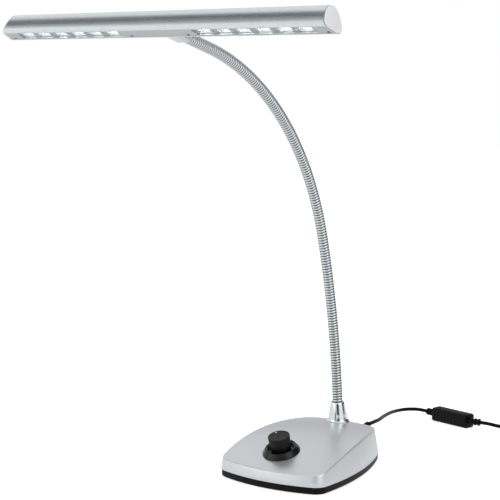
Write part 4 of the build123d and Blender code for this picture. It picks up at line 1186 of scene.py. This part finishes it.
class PIANO_LAMP_OT_lights(Operator):
    """Adds the light cover, the reflectors and the LED packages"""

    bl_idname = "piano_lamp.lights"
    bl_label = "Lights"
    bl_options = {"REGISTER", "UNDO"}

    def execute(self, context):
        refine("light_cover", "light_cover_strip", 0.18 * MM)
        side_length, height = 5.0, 1.4
        for side, word in ((-1, "left"), (1, "right")):
            refine(f"reflector_{word}", f"reflector_row_{word}", 0.35 * MM, segments=3)
            packages, gels = bmesh.new(), bmesh.new()
            for number in range(LED_COUNT):
                along = side * (LED_FIRST + number * LED_PITCH)
                middle = (along, 0, REFLECTOR_TOP - height / 2)
                verts = add_box(packages, (side_length, side_length, height), middle)
                low = {vert for vert in verts if vert.co.z < (REFLECTOR_TOP - 1) * MM}
                face = next(face for face in packages.faces if low.issuperset(face.verts))
                bmesh.ops.inset_region(packages, faces=[face], thickness=0.7 * MM, depth=0)
                bmesh.ops.translate(packages, verts=face.verts, vec=(0, 0, 0.35 * MM))
                spot = Vector(middle) - Vector((0, 0, 0.45))
                place = Matrix.Translation(spot * MM) @ Matrix.Diagonal((1, 1, 0.25, 1))
                bmesh.ops.create_uvsphere(
                    gels, u_segments=20, v_segments=8, radius=1.75 * MM, matrix=place
                )
            soften(packages, 0.12 * MM, 2, 40)
            piece(f"led_packages_{word}", packages, "white_plastic", "head", HEAD_PLACE)
            row = [f"led_row_{word}"]
            piece(f"led_gels_{word}", gels, "led_phosphor", "head", HEAD_PLACE, row)
        return {"FINISHED"}


class PIANO_LAMP_OT_neck_socket(Operator):
    """Adds the socket that joins the neck to the rear of the head, and its set screw"""

    bl_idname = "piano_lamp.neck_socket"
    bl_label = "Neck Socket"
    bl_options = {"REGISTER", "UNDO"}

    def execute(self, context):
        half, below, above = 7.0, 6.2, 7.2
        point, lean = neck_place(SOCKET_START, HOSE_LEAN)
        place = leaning(point, math.degrees(lean))
        bm = bmesh.new()
        corners = [(-half, -below, 0), (half, -below, 0), (half, above, 0), (-half, above, 0)]
        ring = chain(bm, corners, closed=True)[len(corners) :]
        fill(bm, ring)
        fill(bm, pull(bm, ring, (0, 0, SOCKET_END - SOCKET_START)))
        round_edges(bm, edges_along(bm, 2), 2.6 * MM, 6)
        round_edges(bm, edges_below(bm, 0.01), 0.6 * MM, 3)
        piece("socket_shell", bm, "silver_paint", "head", place, ["neck_socket"])
        profile = [(0, 0.9), (0.75, 0.9), (0.75, 0.1), (1.35, 0.1), (1.5, -0.3), (1.5, -2.0)]
        screw = turned(rounded(profile, 0.15), 24)
        side = place @ Matrix.Translation(Vector((half - 0.05, 0.4, 13.0)) * MM)
        side = side @ Matrix.Rotation(math.pi / 2, 4, "Y")
        piece("socket_screw", screw, "black_steel", "head", side, ["socket_set_screw"])
        return {"FINISHED"}


class PIANO_LAMP_OT_cover_screws(Operator):
    """Adds the sunk cross-head screws of the light cover"""

    bl_idname = "piano_lamp.cover_screws"
    bl_label = "Cover Screws"
    bl_options = {"REGISTER", "UNDO"}

    def execute(self, context):
        profile = rounded([(0, 1.6), (1.5, 1.6), (1.5, 0.55), (0.9, 0.35), (0, 0.3)], 0.3)
        for number, (x, y) in enumerate(SCREW_POINTS, start=1):
            bm = turned(profile, 32)
            for turn in (0, 90):
                add_box(bm, (1.5, 0.3, 0.1), (0, 0, 0.3), turn + 20 * number)
            place = HEAD_PLACE @ Matrix.Translation((x * MM, y * MM, 0))
            name, node = f"cover_screw_head_{number}", f"cover_screw_{number}"
            piece(name, bm, "black_steel", "head", place, [node])
        return {"FINISHED"}


class PIANO_LAMP_OT_inner_parts(Operator):
    """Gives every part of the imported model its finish"""

    bl_idname = "piano_lamp.inner_parts"
    bl_label = "Inner Parts"
    bl_options = {"REGISTER", "UNDO"}

    def execute(self, context):
        for name, node in frame["nodes"].items():
            node.data.materials.clear()
            node.data.materials.append(finish(SLOT_OF[name]))
        return {"FINISHED"}


STEPS = (
    PIANO_LAMP_OT_stage,
    PIANO_LAMP_OT_near_cord,
    PIANO_LAMP_OT_far_cord,
    PIANO_LAMP_OT_base_cover,
    PIANO_LAMP_OT_base_tray,
    PIANO_LAMP_OT_dimmer,
    PIANO_LAMP_OT_ferrule,
    PIANO_LAMP_OT_gooseneck,
    PIANO_LAMP_OT_head_housing,
    PIANO_LAMP_OT_end_caps,
    PIANO_LAMP_OT_lights,
    PIANO_LAMP_OT_neck_socket,
    PIANO_LAMP_OT_cover_screws,
    PIANO_LAMP_OT_inner_parts,
)


class PIANO_LAMP_PT_pieces(Panel):
    """Lists the steps that build the lamp, and its sizes and colours"""

    bl_label = "Piano Lamp"
    bl_idname = "PIANO_LAMP_PT_pieces"
    bl_space_type = "VIEW_3D"
    bl_region_type = "UI"
    bl_category = "Piano Lamp"

    def draw(self, context):
        column = self.layout.column(align=True)
        for step in STEPS:
            column.operator(step.bl_idname)
        for settings in (context.scene.piano_lamp_sizes, context.scene.piano_lamp_colours):
            box = self.layout.box()
            for name in settings.__annotations__:
                box.prop(settings, name)


CLASSES = (PianoLampColours, PianoLampSizes, *STEPS, PIANO_LAMP_PT_pieces)


def register():
    """Adds the settings, the steps and the panel."""
    for made in CLASSES:
        bpy.utils.register_class(made)
    bpy.types.Scene.piano_lamp_colours = PointerProperty(type=PianoLampColours)
    bpy.types.Scene.piano_lamp_sizes = PointerProperty(type=PianoLampSizes)


def unregister():
    """Takes out what register added."""
    del bpy.types.Scene.piano_lamp_sizes
    del bpy.types.Scene.piano_lamp_colours
    for made in reversed(CLASSES):
        bpy.utils.unregister_class(made)


def main():
    """Builds the lamp step by step."""
    register()
    for step in STEPS:
        getattr(bpy.ops.piano_lamp, step.bl_idname.split(".")[1])()


if __name__ == "__main__":
    main()
